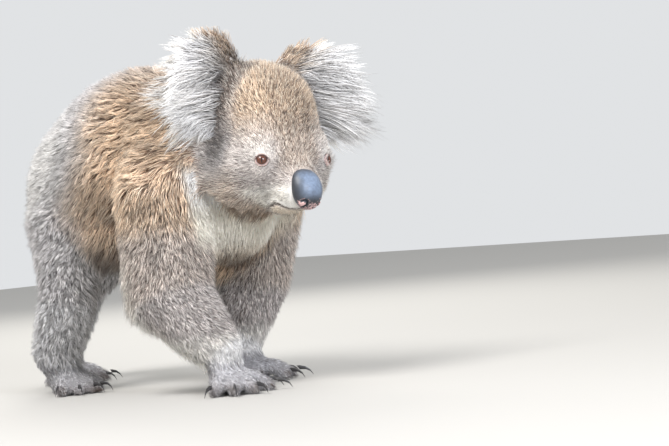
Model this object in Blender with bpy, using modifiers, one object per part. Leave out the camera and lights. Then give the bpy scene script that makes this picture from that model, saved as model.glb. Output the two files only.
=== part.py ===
"""Koala, walking on all fours: a still, life-size model.

The animal faces -Y with its left side towards +X. The origin is on the floor, at the middle
of the animal's bounding box. Every surface is the outline of the coat, out to its tips.
"""

import math

import bmesh
import bpy
from mathutils import Matrix, Vector

# ---------------------------------------------------------------- driving sizes, in metres
GAP = 0.0003                # clearance between neighbouring pieces
LEFT, RIGHT = 1, -1         # the animal's own sides, as signs of X

HEAD_CENTRE = Vector((0.0, -0.205, 0.250))  # the point about which the head turns
HEAD_YAW = math.radians(-5)                 # face turned a little to the animal's right
HEAD_ROLL = math.radians(3)                 # and its right side held a little higher
HEAD_TURN = Matrix.Rotation(HEAD_YAW, 4, "Z") @ Matrix.Rotation(HEAD_ROLL, 4, "Y")
HEAD_WIDTH = 0.150
CROWN = 0.360
CHIN = 0.186
EYE_HEIGHT = 0.247
EYE_SPREAD = math.radians(38)               # each eye's direction, from straight ahead
EYE_REACH = 0.0708                          # head centre to the middle of an eyeball
EYE_RADIUS = 0.0080
NOSE_HEIGHT = 0.214
NOSE_REACH = 0.079
NOSE_RADII = (0.0175, 0.0165, 0.0225)
NOSE_TILT = math.radians(12)
MOUTH_HEIGHT = 0.203
MOUTH_CORNER = 0.030                        # forwards from the head's centre
NECK_FRONT = Vector((0.0, -0.172, 0.268))   # where the head begins
NECK_BASE = Vector((0.0, -0.145, 0.255))    # where the trunk ends
NECK_SLOPE = Vector((0.0, -0.90, 0.44)).normalized()

EAR_SPREAD = 0.101                          # head centre to the middle of an ear
EAR_HEIGHT = {RIGHT: 0.337, LEFT: 0.331}
EAR_LEAN = math.radians(14)                 # how far an ear's top leans in

BODY_VOXEL, BODY_FACES = 0.0050, 2500
HEAD_VOXEL, HEAD_FACES = 0.0032, 1250
PAW_VOXEL, PAW_FACES = 0.0018, 400
EAR_VOXEL, EAR_FACES = 0.0040, 240
NOSE_FACES = 140

SIDE_NAMES = {LEFT: "left", RIGHT: "right"}

# Where each limb's joints are, in the pose of a slow walk.
SHOULDER = {RIGHT: Vector((-0.076, -0.126, 0.222)), LEFT: Vector((0.076, -0.108, 0.218))}
ELBOW = {RIGHT: Vector((-0.092, -0.138, 0.114)), LEFT: Vector((0.082, -0.080, 0.116))}
WRIST = {RIGHT: Vector((-0.068, -0.186, 0.047)), LEFT: Vector((0.048, -0.091, 0.048))}
PALM = {RIGHT: Vector((-0.069, -0.196, 0.016)), LEFT: Vector((0.043, -0.108, 0.016))}
HAND_TURN = {RIGHT: math.radians(0), LEFT: math.radians(8)}
SHOULDER_CUT = (0.008, -0.004, -0.028)      # from the joint to the cut, outwards, back and up
ARM_FACING = (0.80, -0.12, -0.58)
WRIST_RADIUS = 0.026

HIP = {RIGHT: Vector((-0.062, 0.064, 0.200)), LEFT: Vector((0.056, 0.100, 0.200))}
KNEE = {RIGHT: Vector((-0.078, 0.062, 0.112)), LEFT: Vector((0.041, 0.190, 0.122))}
ANKLE = {RIGHT: Vector((-0.072, 0.102, 0.046)), LEFT: Vector((0.032, 0.222, 0.052))}
SOLE = {RIGHT: Vector((-0.068, 0.084, 0.016)), LEFT: Vector((0.030, 0.212, 0.016))}
HIP_CUT = (0.006, 0.0, -0.026)
THIGH_FACING = {RIGHT: (-0.72, 0.22, -0.66), LEFT: (0.62, 0.40, -0.66)}
ANKLE_RADIUS = 0.028
ARM_DISC, LEG_DISC = 0.115, 0.120           # radii of the cuts that part a limb from the trunk
FOOT_TURN = {RIGHT: math.radians(8), LEFT: math.radians(-6)}

PAD_PRESS = 0.0030                          # how far a soft pad spreads against the floor
# Digits of a forepaw: angle from straight ahead (outwards positive), reach from the palm.
# The first two oppose the other three.
HAND_DIGITS = ((-66, 0.040), (-36, 0.047), (8, 0.050), (36, 0.050), (66, 0.043))
# Toes of a hind foot: the first has no claw and stands well apart, and the second and third
# share one sleeve of skin.
FOOT_DIGITS = ((-78, 0.036), (-16, 0.047), (-4, 0.048), (20, 0.053), (46, 0.047))
HAND_PAD = (0.0230, 0.0270, 0.0170)         # half the width, length and height of the cushion
FOOT_PAD = (0.0230, 0.0400, 0.0175)
DIGIT_RADII = (0.0105, 0.0100, 0.0082)      # at the palm, the knuckle and the tip
DIGIT_DROP = 0.0092                         # from the middle of the palm down to a digit's tip
HAND_CLAW, FOOT_CLAW = 0.022, 0.019         # how far each claw reaches
CLAW_RISE = 0.0036                          # from the tip of a digit up to its claw's root
CLAW_CURL = 1.25                            # how far round its curve a claw runs, in radians
CLAW_ARCH = 0.0022                          # how far a claw's back stands above its chord
CLAW_TIP = 0.0022                           # height of a claw's point above the floor


# ---------------------------------------------------------------- scene and materials
def clear_scene():
    for old in list(bpy.data.objects):
        bpy.data.objects.remove(old, do_unlink=True)


def new_collection(name):
    collection = bpy.data.collections.new(name)
    bpy.context.scene.collection.children.link(collection)
    return collection


def finish(name, colour, roughness):
    """A plain Principled material; colour is linear red, green, blue."""
    material = bpy.data.materials.new(name)
    material.use_nodes = True
    shader = material.node_tree.nodes["Principled BSDF"]
    shader.inputs["Base Color"].default_value = (*colour, 1.0)
    shader.inputs["Roughness"].default_value = roughness
    shader.inputs["Metallic"].default_value = 0.0
    return material


# ---------------------------------------------------------------- shapes
def ball(mesh, centre, radii, spin=None):
    """Adds an ellipsoid, turned by spin about its own centre."""
    matrix = Matrix.Translation(centre) @ (spin or Matrix.Identity(4)) @ Matrix.Diagonal((*radii, 1.0))
    bmesh.ops.create_icosphere(mesh, subdivisions=3, radius=1.0, matrix=matrix)


def barrel(mesh, start, start_radii, end, end_radii):
    """Adds the hull of two ellipsoids."""
    piece = bmesh.new()
    for centre, radii in ((start, start_radii), (end, end_radii)):
        matrix = Matrix.Translation(centre) @ Matrix.Diagonal((*radii, 1.0))
        bmesh.ops.create_icosphere(piece, subdivisions=3, radius=1.0, matrix=matrix)
    hull = bmesh.ops.convex_hull(piece, input=piece.verts)
    inside = {item for item in hull["geom_interior"] if isinstance(item, bmesh.types.BMVert)}
    bmesh.ops.delete(piece, geom=list(inside), context="VERTS")
    carrier = bpy.data.meshes.new("length")
    piece.to_mesh(carrier)
    piece.free()
    mesh.from_mesh(carrier)
    bpy.data.meshes.remove(carrier)


def length_of_limb(mesh, start, start_radius, end, end_radius):
    """Adds a rounded, tapering length between two balls."""
    barrel(mesh, start, (start_radius,) * 3, end, (end_radius,) * 3)


def object_from(mesh, name):
    data = bpy.data.meshes.new(name)
    mesh.to_mesh(data)
    mesh.free()
    made = bpy.data.objects.new(name, data)
    PARTS.objects.link(made)
    return made


def apply_modifiers(piece):
    graph = bpy.context.evaluated_depsgraph_get()
    graph.update()
    data = bpy.data.meshes.new_from_object(piece.evaluated_get(graph))
    piece.modifiers.clear()
    piece.data = data


def blend_masses(name, mesh, voxel, smoothing, faces):
    """Melts overlapping masses into one smooth closed form of about so many triangles."""
    form = object_from(mesh, name)
    remesh = form.modifiers.new("melt", "REMESH")
    remesh.mode = "VOXEL"
    remesh.voxel_size = voxel
    smooth = form.modifiers.new("soften", "SMOOTH")
    smooth.factor = 0.5
    smooth.iterations = smoothing
    apply_modifiers(form)
    triangles = 2 * len(form.data.polygons)
    thin = form.modifiers.new("thin", "DECIMATE")
    thin.ratio = min(1.0, faces / triangles)
    apply_modifiers(form)
    return form


def copy_of(piece, name):
    made = bpy.data.objects.new(name, piece.data.copy())
    PARTS.objects.link(made)
    return made


def slice_at(piece, point, normal):
    """Keeps what is on the normal's side of a plane, and caps the cut."""
    mesh = bmesh.new()
    mesh.from_mesh(piece.data)
    everything = mesh.verts[:] + mesh.edges[:] + mesh.faces[:]
    made = bmesh.ops.bisect_plane(
        mesh, geom=everything, plane_co=point, plane_no=normal, dist=1e-6, clear_inner=True
    )
    rim = [item for item in made["geom_cut"] if isinstance(item, bmesh.types.BMEdge)]
    bmesh.ops.holes_fill(mesh, edges=rim, sides=0)
    bmesh.ops.recalc_face_normals(mesh, faces=mesh.faces)
    mesh.to_mesh(piece.data)
    mesh.free()


def split_at(piece, name, point, normal):
    """Divides a piece at a plane. The side that the normal points to becomes the new piece."""
    normal = Vector(normal).normalized()
    beyond = copy_of(piece, name)
    slice_at(beyond, point + normal * GAP / 2, normal)
    slice_at(piece, point - normal * GAP / 2, -normal)
    return beyond


def boolean(piece, other, operation):
    cut = piece.modifiers.new("cut", "BOOLEAN")
    cut.operation = operation
    cut.object = other
    apply_modifiers(piece)


def as_cutter(piece):
    PARTS.objects.unlink(piece)
    CUTTERS.objects.link(piece)
    piece.hide_render = True
    piece.display_type = "WIRE"
    return piece


def loose_parts(piece):
    """The vertex sets of a mesh's separate bodies."""
    mesh = bmesh.new()
    mesh.from_mesh(piece.data)
    mesh.verts.ensure_lookup_table()
    unseen = set(range(len(mesh.verts)))
    bodies = []
    while unseen:
        edge_of_search = [unseen.pop()]
        body = set(edge_of_search)
        while edge_of_search:
            vertex = mesh.verts[edge_of_search.pop()]
            for edge in vertex.link_edges:
                near = edge.other_vert(vertex).index
                if near in unseen:
                    unseen.discard(near)
                    body.add(near)
                    edge_of_search.append(near)
        bodies.append(body)
    mesh.free()
    return bodies


def keep_only(piece, wanted):
    mesh = bmesh.new()
    mesh.from_mesh(piece.data)
    mesh.verts.ensure_lookup_table()
    unwanted = [vertex for vertex in mesh.verts if vertex.index not in wanted]
    bmesh.ops.delete(mesh, geom=unwanted, context="VERTS")
    mesh.to_mesh(piece.data)
    mesh.free()


def keep_largest(piece):
    keep_only(piece, max(loose_parts(piece), key=len))


def cut_limb_off(body, name, point, normal, radius):
    """Cuts a limb off with a thin disc. The normal points down the limb."""
    disc_mesh = bmesh.new()
    facing = Vector(normal).to_track_quat("Z", "Y").to_matrix().to_4x4()
    bmesh.ops.create_cone(
        disc_mesh, cap_ends=True, segments=24, radius1=radius, radius2=radius, depth=GAP,
        matrix=Matrix.Translation(point) @ facing,
    )
    disc = as_cutter(object_from(disc_mesh, name + "_disc"))
    boolean(body, disc, "DIFFERENCE")
    bodies = sorted(loose_parts(body), key=len, reverse=True)
    if len(bodies) < 2:
        raise RuntimeError(name + ": the disc doesn't reach through")
    limb = copy_of(body, name)
    keep_only(limb, bodies[1])
    keep_only(body, bodies[0])
    return limb


def swollen(piece, by):
    """A copy pushed outwards all over, which leaves a gap around the piece when it cuts."""
    fat = copy_of(piece, piece.name + "_swollen")
    push = fat.modifiers.new("push", "DISPLACE")
    push.strength = by
    push.mid_level = 0.0
    apply_modifiers(fat)
    return as_cutter(fat)


def trim_to(piece, host):
    """Removes what of a piece is inside its host, with the usual gap."""
    boolean(piece, swollen(host, GAP), "DIFFERENCE")
    keep_largest(piece)


# ---------------------------------------------------------------- trunk and limbs
def on_head(side, forward, height):
    """A point given across, forwards and upwards from the head's centre."""
    return HEAD_CENTRE + HEAD_TURN @ Vector((side, -forward, height - HEAD_CENTRE.z))


def on_side(side, offset):
    """An offset given outwards, back and up, for one side of the animal."""
    return Vector((side * offset[0], offset[1], offset[2]))


def add_trunk(mesh):
    ribs, rump = Vector((0.0, -0.014, 0.267)), Vector((0.0, 0.066, 0.233))
    barrel(mesh, ribs, (0.112, 0.128, 0.108), rump, (0.106, 0.087, 0.104))
    ball(mesh, (0.0, -0.100, 0.262), (0.100, 0.085, 0.092))     # shoulders
    ball(mesh, (0.0, -0.130, 0.200), (0.070, 0.062, 0.062))     # chest
    ball(mesh, (0.0, 0.010, 0.196), (0.090, 0.115, 0.062))      # belly


def add_neck(mesh):
    length_of_limb(mesh, Vector((0.0, -0.110, 0.268)), 0.078, Vector((0.0, -0.190, 0.272)), 0.066)
    length_of_limb(mesh, Vector((0.0, -0.140, 0.215)), 0.056, Vector((0.0, -0.205, 0.236)), 0.044)


def add_forelimb(mesh, side):
    shoulder, elbow, wrist = SHOULDER[side], ELBOW[side], WRIST[side]
    ball(mesh, shoulder, (0.048, 0.064, 0.070))
    upper = shoulder.lerp(elbow, 0.45)
    length_of_limb(mesh, shoulder, 0.054, upper, 0.056)
    length_of_limb(mesh, upper, 0.056, elbow, 0.049)
    middle = elbow.lerp(wrist, 0.5)
    length_of_limb(mesh, elbow, 0.047, middle, 0.039)
    length_of_limb(mesh, middle, 0.039, wrist, 0.027)


def add_hind_limb(mesh, side):
    hip, knee, ankle = HIP[side], KNEE[side], ANKLE[side]
    ball(mesh, hip, (0.050, 0.062, 0.074))
    length_of_limb(mesh, hip, 0.052, knee, 0.035)
    middle = knee.lerp(ankle, 0.45)
    length_of_limb(mesh, knee, 0.035, middle, 0.035)
    length_of_limb(mesh, middle, 0.035, ankle, 0.030)


def make_body():
    """Trunk, neck and limbs in one piece, down to the wrists and ankles."""
    mesh = bmesh.new()
    add_trunk(mesh)
    add_neck(mesh)
    for side in (LEFT, RIGHT):
        add_forelimb(mesh, side)
        add_hind_limb(mesh, side)
        length_of_limb(mesh, WRIST[side], WRIST_RADIUS, PALM[side], 0.020)
        length_of_limb(mesh, ANKLE[side], ANKLE_RADIUS, SOLE[side], 0.020)
    return blend_masses("trunk", mesh, BODY_VOXEL, 5, BODY_FACES)


def part_body(body):
    """Divides the body at its joints. The body itself stays as the trunk."""
    stump = split_at(body, "neck_stump", NECK_FRONT, NECK_SLOPE)
    bpy.data.objects.remove(stump)
    pieces = {}
    for side in (LEFT, RIGHT):
        name = SIDE_NAMES[side]
        arm_cut = SHOULDER[side] + on_side(side, SHOULDER_CUT)
        arm = cut_limb_off(body, "upper_arm_" + name, arm_cut, on_side(side, ARM_FACING), ARM_DISC)
        leg_cut = HIP[side] + on_side(side, HIP_CUT)
        leg = cut_limb_off(body, "thigh_" + name, leg_cut, THIGH_FACING[side], LEG_DISC)
        elbow, wrist = ELBOW[side], WRIST[side]
        forearm = split_at(arm, "forearm_" + name, elbow, (wrist - SHOULDER[side]))
        stump = split_at(forearm, "wrist_stump", wrist, (wrist - elbow))
        bpy.data.objects.remove(stump)
        knee, ankle = KNEE[side], ANKLE[side]
        shank = split_at(leg, "shank_" + name, knee, (ankle - HIP[side]))
        stump = split_at(shank, "ankle_stump", ankle, (ankle - knee))
        bpy.data.objects.remove(stump)
        pieces[side] = (arm, forearm, leg, shank)
    pieces["neck"] = split_at(body, "neck", NECK_BASE, NECK_SLOPE)
    return pieces


# ---------------------------------------------------------------- head
def make_head():
    mesh = bmesh.new()
    half = HEAD_WIDTH / 2
    add_neck(mesh)
    ball(mesh, on_head(0.0, -0.002, CROWN - 0.071), (half - 0.005, 0.068, 0.071))       # skull
    ball(mesh, on_head(0.0, 0.020, 0.250), (half - 0.003, 0.053, 0.052))                # face
    ball(mesh, on_head(0.0, 0.054, 0.218), (0.034, 0.030, 0.026))                       # muzzle
    ball(mesh, on_head(0.0, 0.056, 0.240), (0.016, 0.026, 0.020))                       # bridge
    ball(mesh, on_head(0.0, 0.040, CHIN + 0.017), (0.029, 0.029, 0.017))                # chin
    for side in (LEFT, RIGHT):
        ball(mesh, on_head(side * (half - 0.037), -0.002, 0.232), (0.037, 0.052, 0.040))    # cheek
        ball(mesh, on_head(side * 0.030, 0.040, 0.268), (0.028, 0.024, 0.022))              # brow
    head = blend_masses("head", mesh, HEAD_VOXEL, 6, HEAD_FACES)
    slice_at(head, NECK_FRONT - Vector((0.0, GAP, 0.0)), NECK_SLOPE)
    return head


def jaw_block(name, clearance):
    """The space in front of the mouth's corners and below its line."""
    size = Vector((0.20, 0.10, 0.06))   # larger than the jaw in every direction
    forward = MOUTH_CORNER - clearance + size.y / 2
    middle = on_head(0.0, forward, MOUTH_HEIGHT + clearance - size.z / 2)
    mesh = bmesh.new()
    matrix = Matrix.Translation(middle) @ HEAD_TURN @ Matrix.Diagonal((*size, 1.0))
    bmesh.ops.create_cube(mesh, size=1.0, matrix=matrix)
    return as_cutter(object_from(mesh, name))


def part_jaw(head):
    """Parts the lower jaw from the head along the closed mouth."""
    jaw = copy_of(head, "lower_jaw")
    boolean(jaw, jaw_block("jaw_space", 0.0), "INTERSECT")
    keep_largest(jaw)
    boolean(head, jaw_block("jaw_clearance", GAP), "DIFFERENCE")
    keep_largest(head)
    return jaw


def make_nose(head):
    mesh = bmesh.new()
    width, depth, height = NOSE_RADII
    spin = HEAD_TURN @ Matrix.Rotation(NOSE_TILT, 4, "X")
    pad = on_head(0.0, NOSE_REACH - 0.002, NOSE_HEIGHT)
    top = on_head(0.0, NOSE_REACH - 0.006, NOSE_HEIGHT + 0.010)
    ball(mesh, pad, NOSE_RADII, spin)
    ball(mesh, top, (width * 0.8, depth * 0.8, height * 0.6), spin)
    nose = blend_masses("nose_leather", mesh, PAW_VOXEL, 4, NOSE_FACES)
    trim_to(nose, head)
    return nose


def make_eye(head, side):
    mesh = bmesh.new()
    angle = side * EYE_SPREAD
    middle = on_head(EYE_REACH * math.sin(angle), EYE_REACH * math.cos(angle), EYE_HEIGHT)
    bmesh.ops.create_uvsphere(
        mesh, u_segments=14, v_segments=8, radius=EYE_RADIUS, matrix=Matrix.Translation(middle)
    )
    eye = object_from(mesh, "eye_" + SIDE_NAMES[side])
    boolean(head, swollen(eye, GAP), "DIFFERENCE")
    return eye


def make_ear(head, side):
    """A fan of fur round the cupped ear, which opens forwards."""
    mesh = bmesh.new()
    lean = HEAD_TURN @ Matrix.Rotation(-EAR_LEAN * side, 4, "Y")
    height = EAR_HEIGHT[side]
    ball(mesh, on_head(side * EAR_SPREAD, 0.002, height), (0.050, 0.020, 0.055), lean)
    ball(mesh, on_head(side * (EAR_SPREAD + 0.024), 0.012, height - 0.020), (0.034, 0.018, 0.042), lean)
    ball(mesh, on_head(side * 0.070, -0.004, height + 0.006), (0.040, 0.020, 0.044), lean)
    ear = blend_masses("ear_" + SIDE_NAMES[side], mesh, EAR_VOXEL, 3, EAR_FACES)
    trim_to(ear, head)
    return ear


# ---------------------------------------------------------------- paws
def heading(turn, side, angle):
    """A level direction: angle from straight ahead, outwards positive, on a paw turned by turn."""
    total = math.radians(angle) + turn
    return Vector((side * math.sin(total), -math.cos(total), 0.0))


def make_claw(name, root, along, size):
    """A tapering hook, rounded above and narrow below, from its root inside the toe."""
    rings, sides = 5, 6
    mesh = bmesh.new()
    across = along.cross(Vector((0.0, 0.0, 1.0))).normalized()
    drop = root.z - CLAW_TIP
    previous = None
    for ring in range(rings):
        t = ring / (rings - 1)
        centre = root + along * size * math.sin(t * CLAW_CURL) / math.sin(CLAW_CURL)
        centre.z = root.z + CLAW_ARCH * math.sin(math.pi * t) - drop * t ** 1.8
        radius = size * 0.135 * (1.0 - 0.86 * t)
        circle = []
        for corner in range(sides):
            angle = 2 * math.pi * corner / sides
            offset = across * math.cos(angle) * 0.72    # deeper than it is wide
            offset.z += math.sin(angle) * 1.15
            circle.append(mesh.verts.new(centre + offset * radius))
        if previous:
            for corner in range(sides):
                after = (corner + 1) % sides
                mesh.faces.new((previous[corner], previous[after], circle[after], circle[corner]))
        else:
            mesh.faces.new(circle)
        previous = circle
    mesh.faces.new(previous[::-1])
    bmesh.ops.recalc_face_normals(mesh, faces=mesh.faces)
    return object_from(mesh, name)


def make_paw(name, side, middle, turn, joint, joint_radius, limb_up, digits, pad, claw_size, clawless):
    """A whole paw with its claws. It stands on flats at floor level."""
    mesh = bmesh.new()
    spin = Matrix.Rotation(side * turn, 4, "Z")
    width, length, height = pad
    ball(mesh, Vector((middle.x, middle.y, height - PAD_PRESS)), (width, length, height), spin)
    length_of_limb(mesh, joint + limb_up * 0.03, joint_radius * 1.1, joint, joint_radius)
    length_of_limb(mesh, joint, joint_radius, middle + Vector((0, 0, 0.004)), height * 0.92)
    tips = []
    for angle, reach in digits:
        along = heading(turn, side, angle)
        knuckle = middle + along * reach * 0.58 + Vector((0, 0, 0.0005))
        tip = middle + along * reach - Vector((0, 0, DIGIT_DROP))
        palm_radius, knuckle_radius, tip_radius = DIGIT_RADII
        length_of_limb(mesh, middle + along * 0.012, palm_radius, knuckle, knuckle_radius)
        length_of_limb(mesh, knuckle, knuckle_radius, tip, tip_radius)
        tips.append((tip, along))
    paw = blend_masses(name, mesh, PAW_VOXEL, 4, PAW_FACES)
    slice_at(paw, Vector((0, 0, 0)), Vector((0, 0, 1)))
    slice_at(paw, joint - limb_up * GAP, -limb_up)
    keep_largest(paw)
    claws = []
    for number, (tip, along) in enumerate(tips, 1):
        if number in clawless:
            continue
        root = tip + along * 0.001 + Vector((0, 0, CLAW_RISE))
        claw = make_claw(f"claw_{name}_{number}", root, along, claw_size)
        trim_to(claw, paw)
        claws.append(claw)
    return paw, claws


# ---------------------------------------------------------------- the whole animal
def settle_on_origin(pieces):
    """Moves the animal level so that the origin is under the middle of its box."""
    corners = [vertex.co for piece in pieces for vertex in piece.data.vertices]
    middle_x = (min(c.x for c in corners) + max(c.x for c in corners)) / 2
    middle_y = (min(c.y for c in corners) + max(c.y for c in corners)) / 2
    for piece in pieces:
        piece.data.transform(Matrix.Translation((-middle_x, -middle_y, 0.0)))


def tidy(piece):
    """Triangles only, with welded points and outward faces."""
    mesh = bmesh.new()
    mesh.from_mesh(piece.data)
    bmesh.ops.remove_doubles(mesh, verts=mesh.verts, dist=1e-5)
    bmesh.ops.dissolve_degenerate(mesh, dist=1e-5, edges=mesh.edges)
    bmesh.ops.triangulate(mesh, faces=mesh.faces)
    bmesh.ops.recalc_face_normals(mesh, faces=mesh.faces)
    mesh.to_mesh(piece.data)
    mesh.free()


def dress(piece, material):
    piece.data.materials.clear()
    piece.data.materials.append(material)
    piece.data.shade_smooth()
    piece.data.set_sharp_from_angle(angle=math.radians(40))


def main():
    fur = finish("koala_fur", (0.30, 0.25, 0.21), 0.90)
    pale_fur = finish("ear_fur", (0.72, 0.70, 0.66), 0.90)
    leather = finish("nose_skin", (0.045, 0.050, 0.060), 0.50)
    horn = finish("claw_horn", (0.030, 0.026, 0.024), 0.35)
    eye_surface = finish("eye_surface", (0.060, 0.030, 0.012), 0.08)

    body = make_body()
    pieces = part_body(body)
    head = make_head()
    jaw = part_jaw(head)
    nose = make_nose(head)
    trim_to(nose, jaw)
    dressed = [(body, fur), (pieces["neck"], fur), (head, fur), (jaw, fur), (nose, leather)]
    for side in (LEFT, RIGHT):
        name = SIDE_NAMES[side]
        arm, forearm, leg, shank = pieces[side]
        dressed += [(arm, fur), (forearm, fur), (leg, fur), (shank, fur)]
        dressed.append((make_ear(head, side), pale_fur))
        up_forearm = (ELBOW[side] - WRIST[side]).normalized()
        hand, hand_claws = make_paw(
            "hand_" + name, side, PALM[side], HAND_TURN[side], WRIST[side], WRIST_RADIUS, up_forearm,
            HAND_DIGITS, HAND_PAD, HAND_CLAW, (),
        )
        up_shank = (KNEE[side] - ANKLE[side]).normalized()
        foot, foot_claws = make_paw(
            "foot_" + name, side, SOLE[side], FOOT_TURN[side], ANKLE[side], ANKLE_RADIUS, up_shank,
            FOOT_DIGITS, FOOT_PAD, FOOT_CLAW, (1,),
        )
        dressed += [(hand, fur), (foot, fur)]
        dressed += [(claw, horn) for claw in hand_claws + foot_claws]
    for side in (LEFT, RIGHT):
        dressed.append((make_eye(head, side), eye_surface))
    for piece, material in dressed:
        tidy(piece)
        dress(piece, material)
    settle_on_origin([piece for piece, _ in dressed])


clear_scene()
PARTS = new_collection("koala")
CUTTERS = new_collection("cutters")
main()
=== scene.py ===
import math

import bmesh
import bpy
import numpy as np
from mathutils import Matrix, Vector
from mathutils.bvhtree import BVHTree
from mathutils.kdtree import KDTree


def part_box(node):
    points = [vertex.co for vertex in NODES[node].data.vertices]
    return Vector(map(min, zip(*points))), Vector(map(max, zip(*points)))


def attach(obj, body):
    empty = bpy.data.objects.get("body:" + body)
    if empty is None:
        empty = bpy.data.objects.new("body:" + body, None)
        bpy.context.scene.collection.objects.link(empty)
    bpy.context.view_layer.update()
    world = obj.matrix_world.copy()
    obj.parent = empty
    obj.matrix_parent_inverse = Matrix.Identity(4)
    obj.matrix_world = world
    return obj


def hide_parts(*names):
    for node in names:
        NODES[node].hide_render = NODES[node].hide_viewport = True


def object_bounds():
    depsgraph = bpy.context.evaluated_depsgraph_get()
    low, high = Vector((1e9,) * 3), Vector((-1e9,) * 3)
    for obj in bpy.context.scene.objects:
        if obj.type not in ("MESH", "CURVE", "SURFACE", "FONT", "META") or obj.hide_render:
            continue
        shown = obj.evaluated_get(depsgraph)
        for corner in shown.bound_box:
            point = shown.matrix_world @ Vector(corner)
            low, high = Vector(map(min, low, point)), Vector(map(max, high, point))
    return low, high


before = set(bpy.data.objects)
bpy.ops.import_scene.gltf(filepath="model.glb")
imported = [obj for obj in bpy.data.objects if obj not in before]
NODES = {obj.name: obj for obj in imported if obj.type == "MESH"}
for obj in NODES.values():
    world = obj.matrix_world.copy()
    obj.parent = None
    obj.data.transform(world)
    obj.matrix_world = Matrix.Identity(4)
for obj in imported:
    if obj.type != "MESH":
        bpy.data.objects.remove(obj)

# A koala walking on all fours, life size. Lengths are in metres unless a name says otherwise.
# One skin lies under the solids by the coat's depth, and the coat grows from it in tufts.

CAD_LOW, CAD_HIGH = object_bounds()
DICE = np.random.default_rng(11)
MM = 0.001
SIDES = {"left": 1.0, "right": -1.0}      # the animal's own sides, as signs of X


# ================================================================ colours and node helper
def linear(code):
    """An sRGB hex colour as linear red, green, blue and full alpha."""
    parts = [int(code[i:i + 2], 16) / 255 for i in (1, 3, 5)]
    return (*[c / 12.92 if c <= 0.04045 else ((c + 0.055) / 1.055) ** 2.4 for c in parts], 1.0)


ASH_HAIR = linear("#dadadf")       # the grey of rump, legs and cheeks
TAN_HAIR = linear("#ebcfb0")       # the warm shoulders, back and crown
CREAM_HAIR = linear("#fdfcfa")     # bib, ear fringe, lips and elbows
STRAW_HAIR = linear("#f5efdc")     # the same hair where it is stained yellow, low on the bib
UMBER_HAIR_AND_SHADE = linear("#62534a")     # the mouth's line, the stripe between the eyes and the digits; painted shade on the belly, the top of the back, the crown, the ear bases and between the limbs
ROOT_SHADE = linear("#76706c")     # the hair's own darker base that every tuft grows out of, with painted shade deep in the coat
WARM_SHADE = linear("#87624a")     # and the same under tan hair, also with painted shade
LID_SKIN = linear("#d9c2bd")       # bare skin below the eye, a thin greyish pink
LASH_SKIN = linear("#3d2b26")      # the dark edge of the upper lid


def add_node(material, kind, sockets, output=0, **properties):
    """Adds a shader node with its properties, and returns one of its outputs. Each socket is given
    either a value or the output that feeds it."""
    made = material.node_tree.nodes.new("ShaderNode" + kind)
    for name, value in properties.items():
        setattr(made, name, value)
    for socket, value in sockets.items():
        if isinstance(value, bpy.types.NodeSocket):
            material.node_tree.links.new(value, made.inputs[socket])
        else:
            made.inputs[socket].default_value = value
    return made.outputs[output] if made.outputs else None


def blank_material(name):
    material = bpy.data.materials.new(name)
    material.use_nodes = True
    material.node_tree.nodes.clear()
    return material


MIX_A, MIX_B, MIX_RESULT = 6, 7, 2         # a colour Mix node's sockets


def pattern(millimetres):
    """The scale at which a texture's grain is this size, on coordinates in metres."""
    return 1 / (millimetres * MM)


# ================================================================ objects and meshes
def object_of(name, data):
    made = bpy.data.objects.new(name, data)
    bpy.context.scene.collection.objects.link(made)
    return made


def made_mesh(name, build, **settings):
    """A mesh from one of bmesh's own shapes."""
    mesh = bmesh.new()
    build(mesh, **settings)
    data = bpy.data.meshes.new(name)
    mesh.to_mesh(data)
    mesh.free()
    return data


def move_points(data, points):
    data.vertices.foreach_set("co", np.ascontiguousarray(points, np.float32).ravel())
    data.update()


# ================================================================ view, floor and light
CAMERA_SPOT = Vector((-1.6733, -1.9686, 0.200))
CAMERA_HEADING = math.radians(44.83)       # from +Y towards +X
CAMERA_TILT = math.radians(-0.60)
CAMERA_ROLL = math.radians(5.0)
LENS_MM = 118.8


def place_camera():
    ahead = Vector((math.sin(CAMERA_HEADING) * math.cos(CAMERA_TILT),
                    math.cos(CAMERA_HEADING) * math.cos(CAMERA_TILT), math.sin(CAMERA_TILT)))
    level = ahead.cross(Vector((0, 0, 1))).normalized()
    upright = level.cross(ahead)
    right = level * math.cos(CAMERA_ROLL) - upright * math.sin(CAMERA_ROLL)
    above = upright * math.cos(CAMERA_ROLL) + level * math.sin(CAMERA_ROLL)
    data = bpy.data.cameras.new("camera")
    data.lens = LENS_MM
    data.sensor_width = 36.0
    camera = object_of("camera", data)
    turned = Matrix((right, above, -ahead)).transposed().to_4x4()
    camera.matrix_world = Matrix.Translation(CAMERA_SPOT) @ turned
    bpy.context.scene.camera = camera


def studio_paint():
    """Matt studio paint: pale and even, with no gloss."""
    material = blank_material("matt_studio_paint")
    paint = add_node(material, "BsdfPrincipled", {"Base Color": linear("#b0aeaa"), "Roughness": 0.9})
    add_node(material, "OutputMaterial", {"Surface": paint})
    return material


def add_floor():
    data = made_mesh("floor", bmesh.ops.create_grid, x_segments=1, y_segments=1, size=4.0)
    data.materials.append(studio_paint())
    object_of("floor", data)


def add_lamp(name, spot, aim, size, watts, colour):
    data = bpy.data.lights.new(name, "AREA")
    data.shape = "DISK"
    data.size = size
    data.energy = watts
    data.color = linear(colour)[:3]
    lamp = object_of(name, data)
    lamp.location = spot
    lamp.rotation_euler = (Vector(aim) - Vector(spot)).to_track_quat("-Z", "Y").to_euler()


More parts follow.
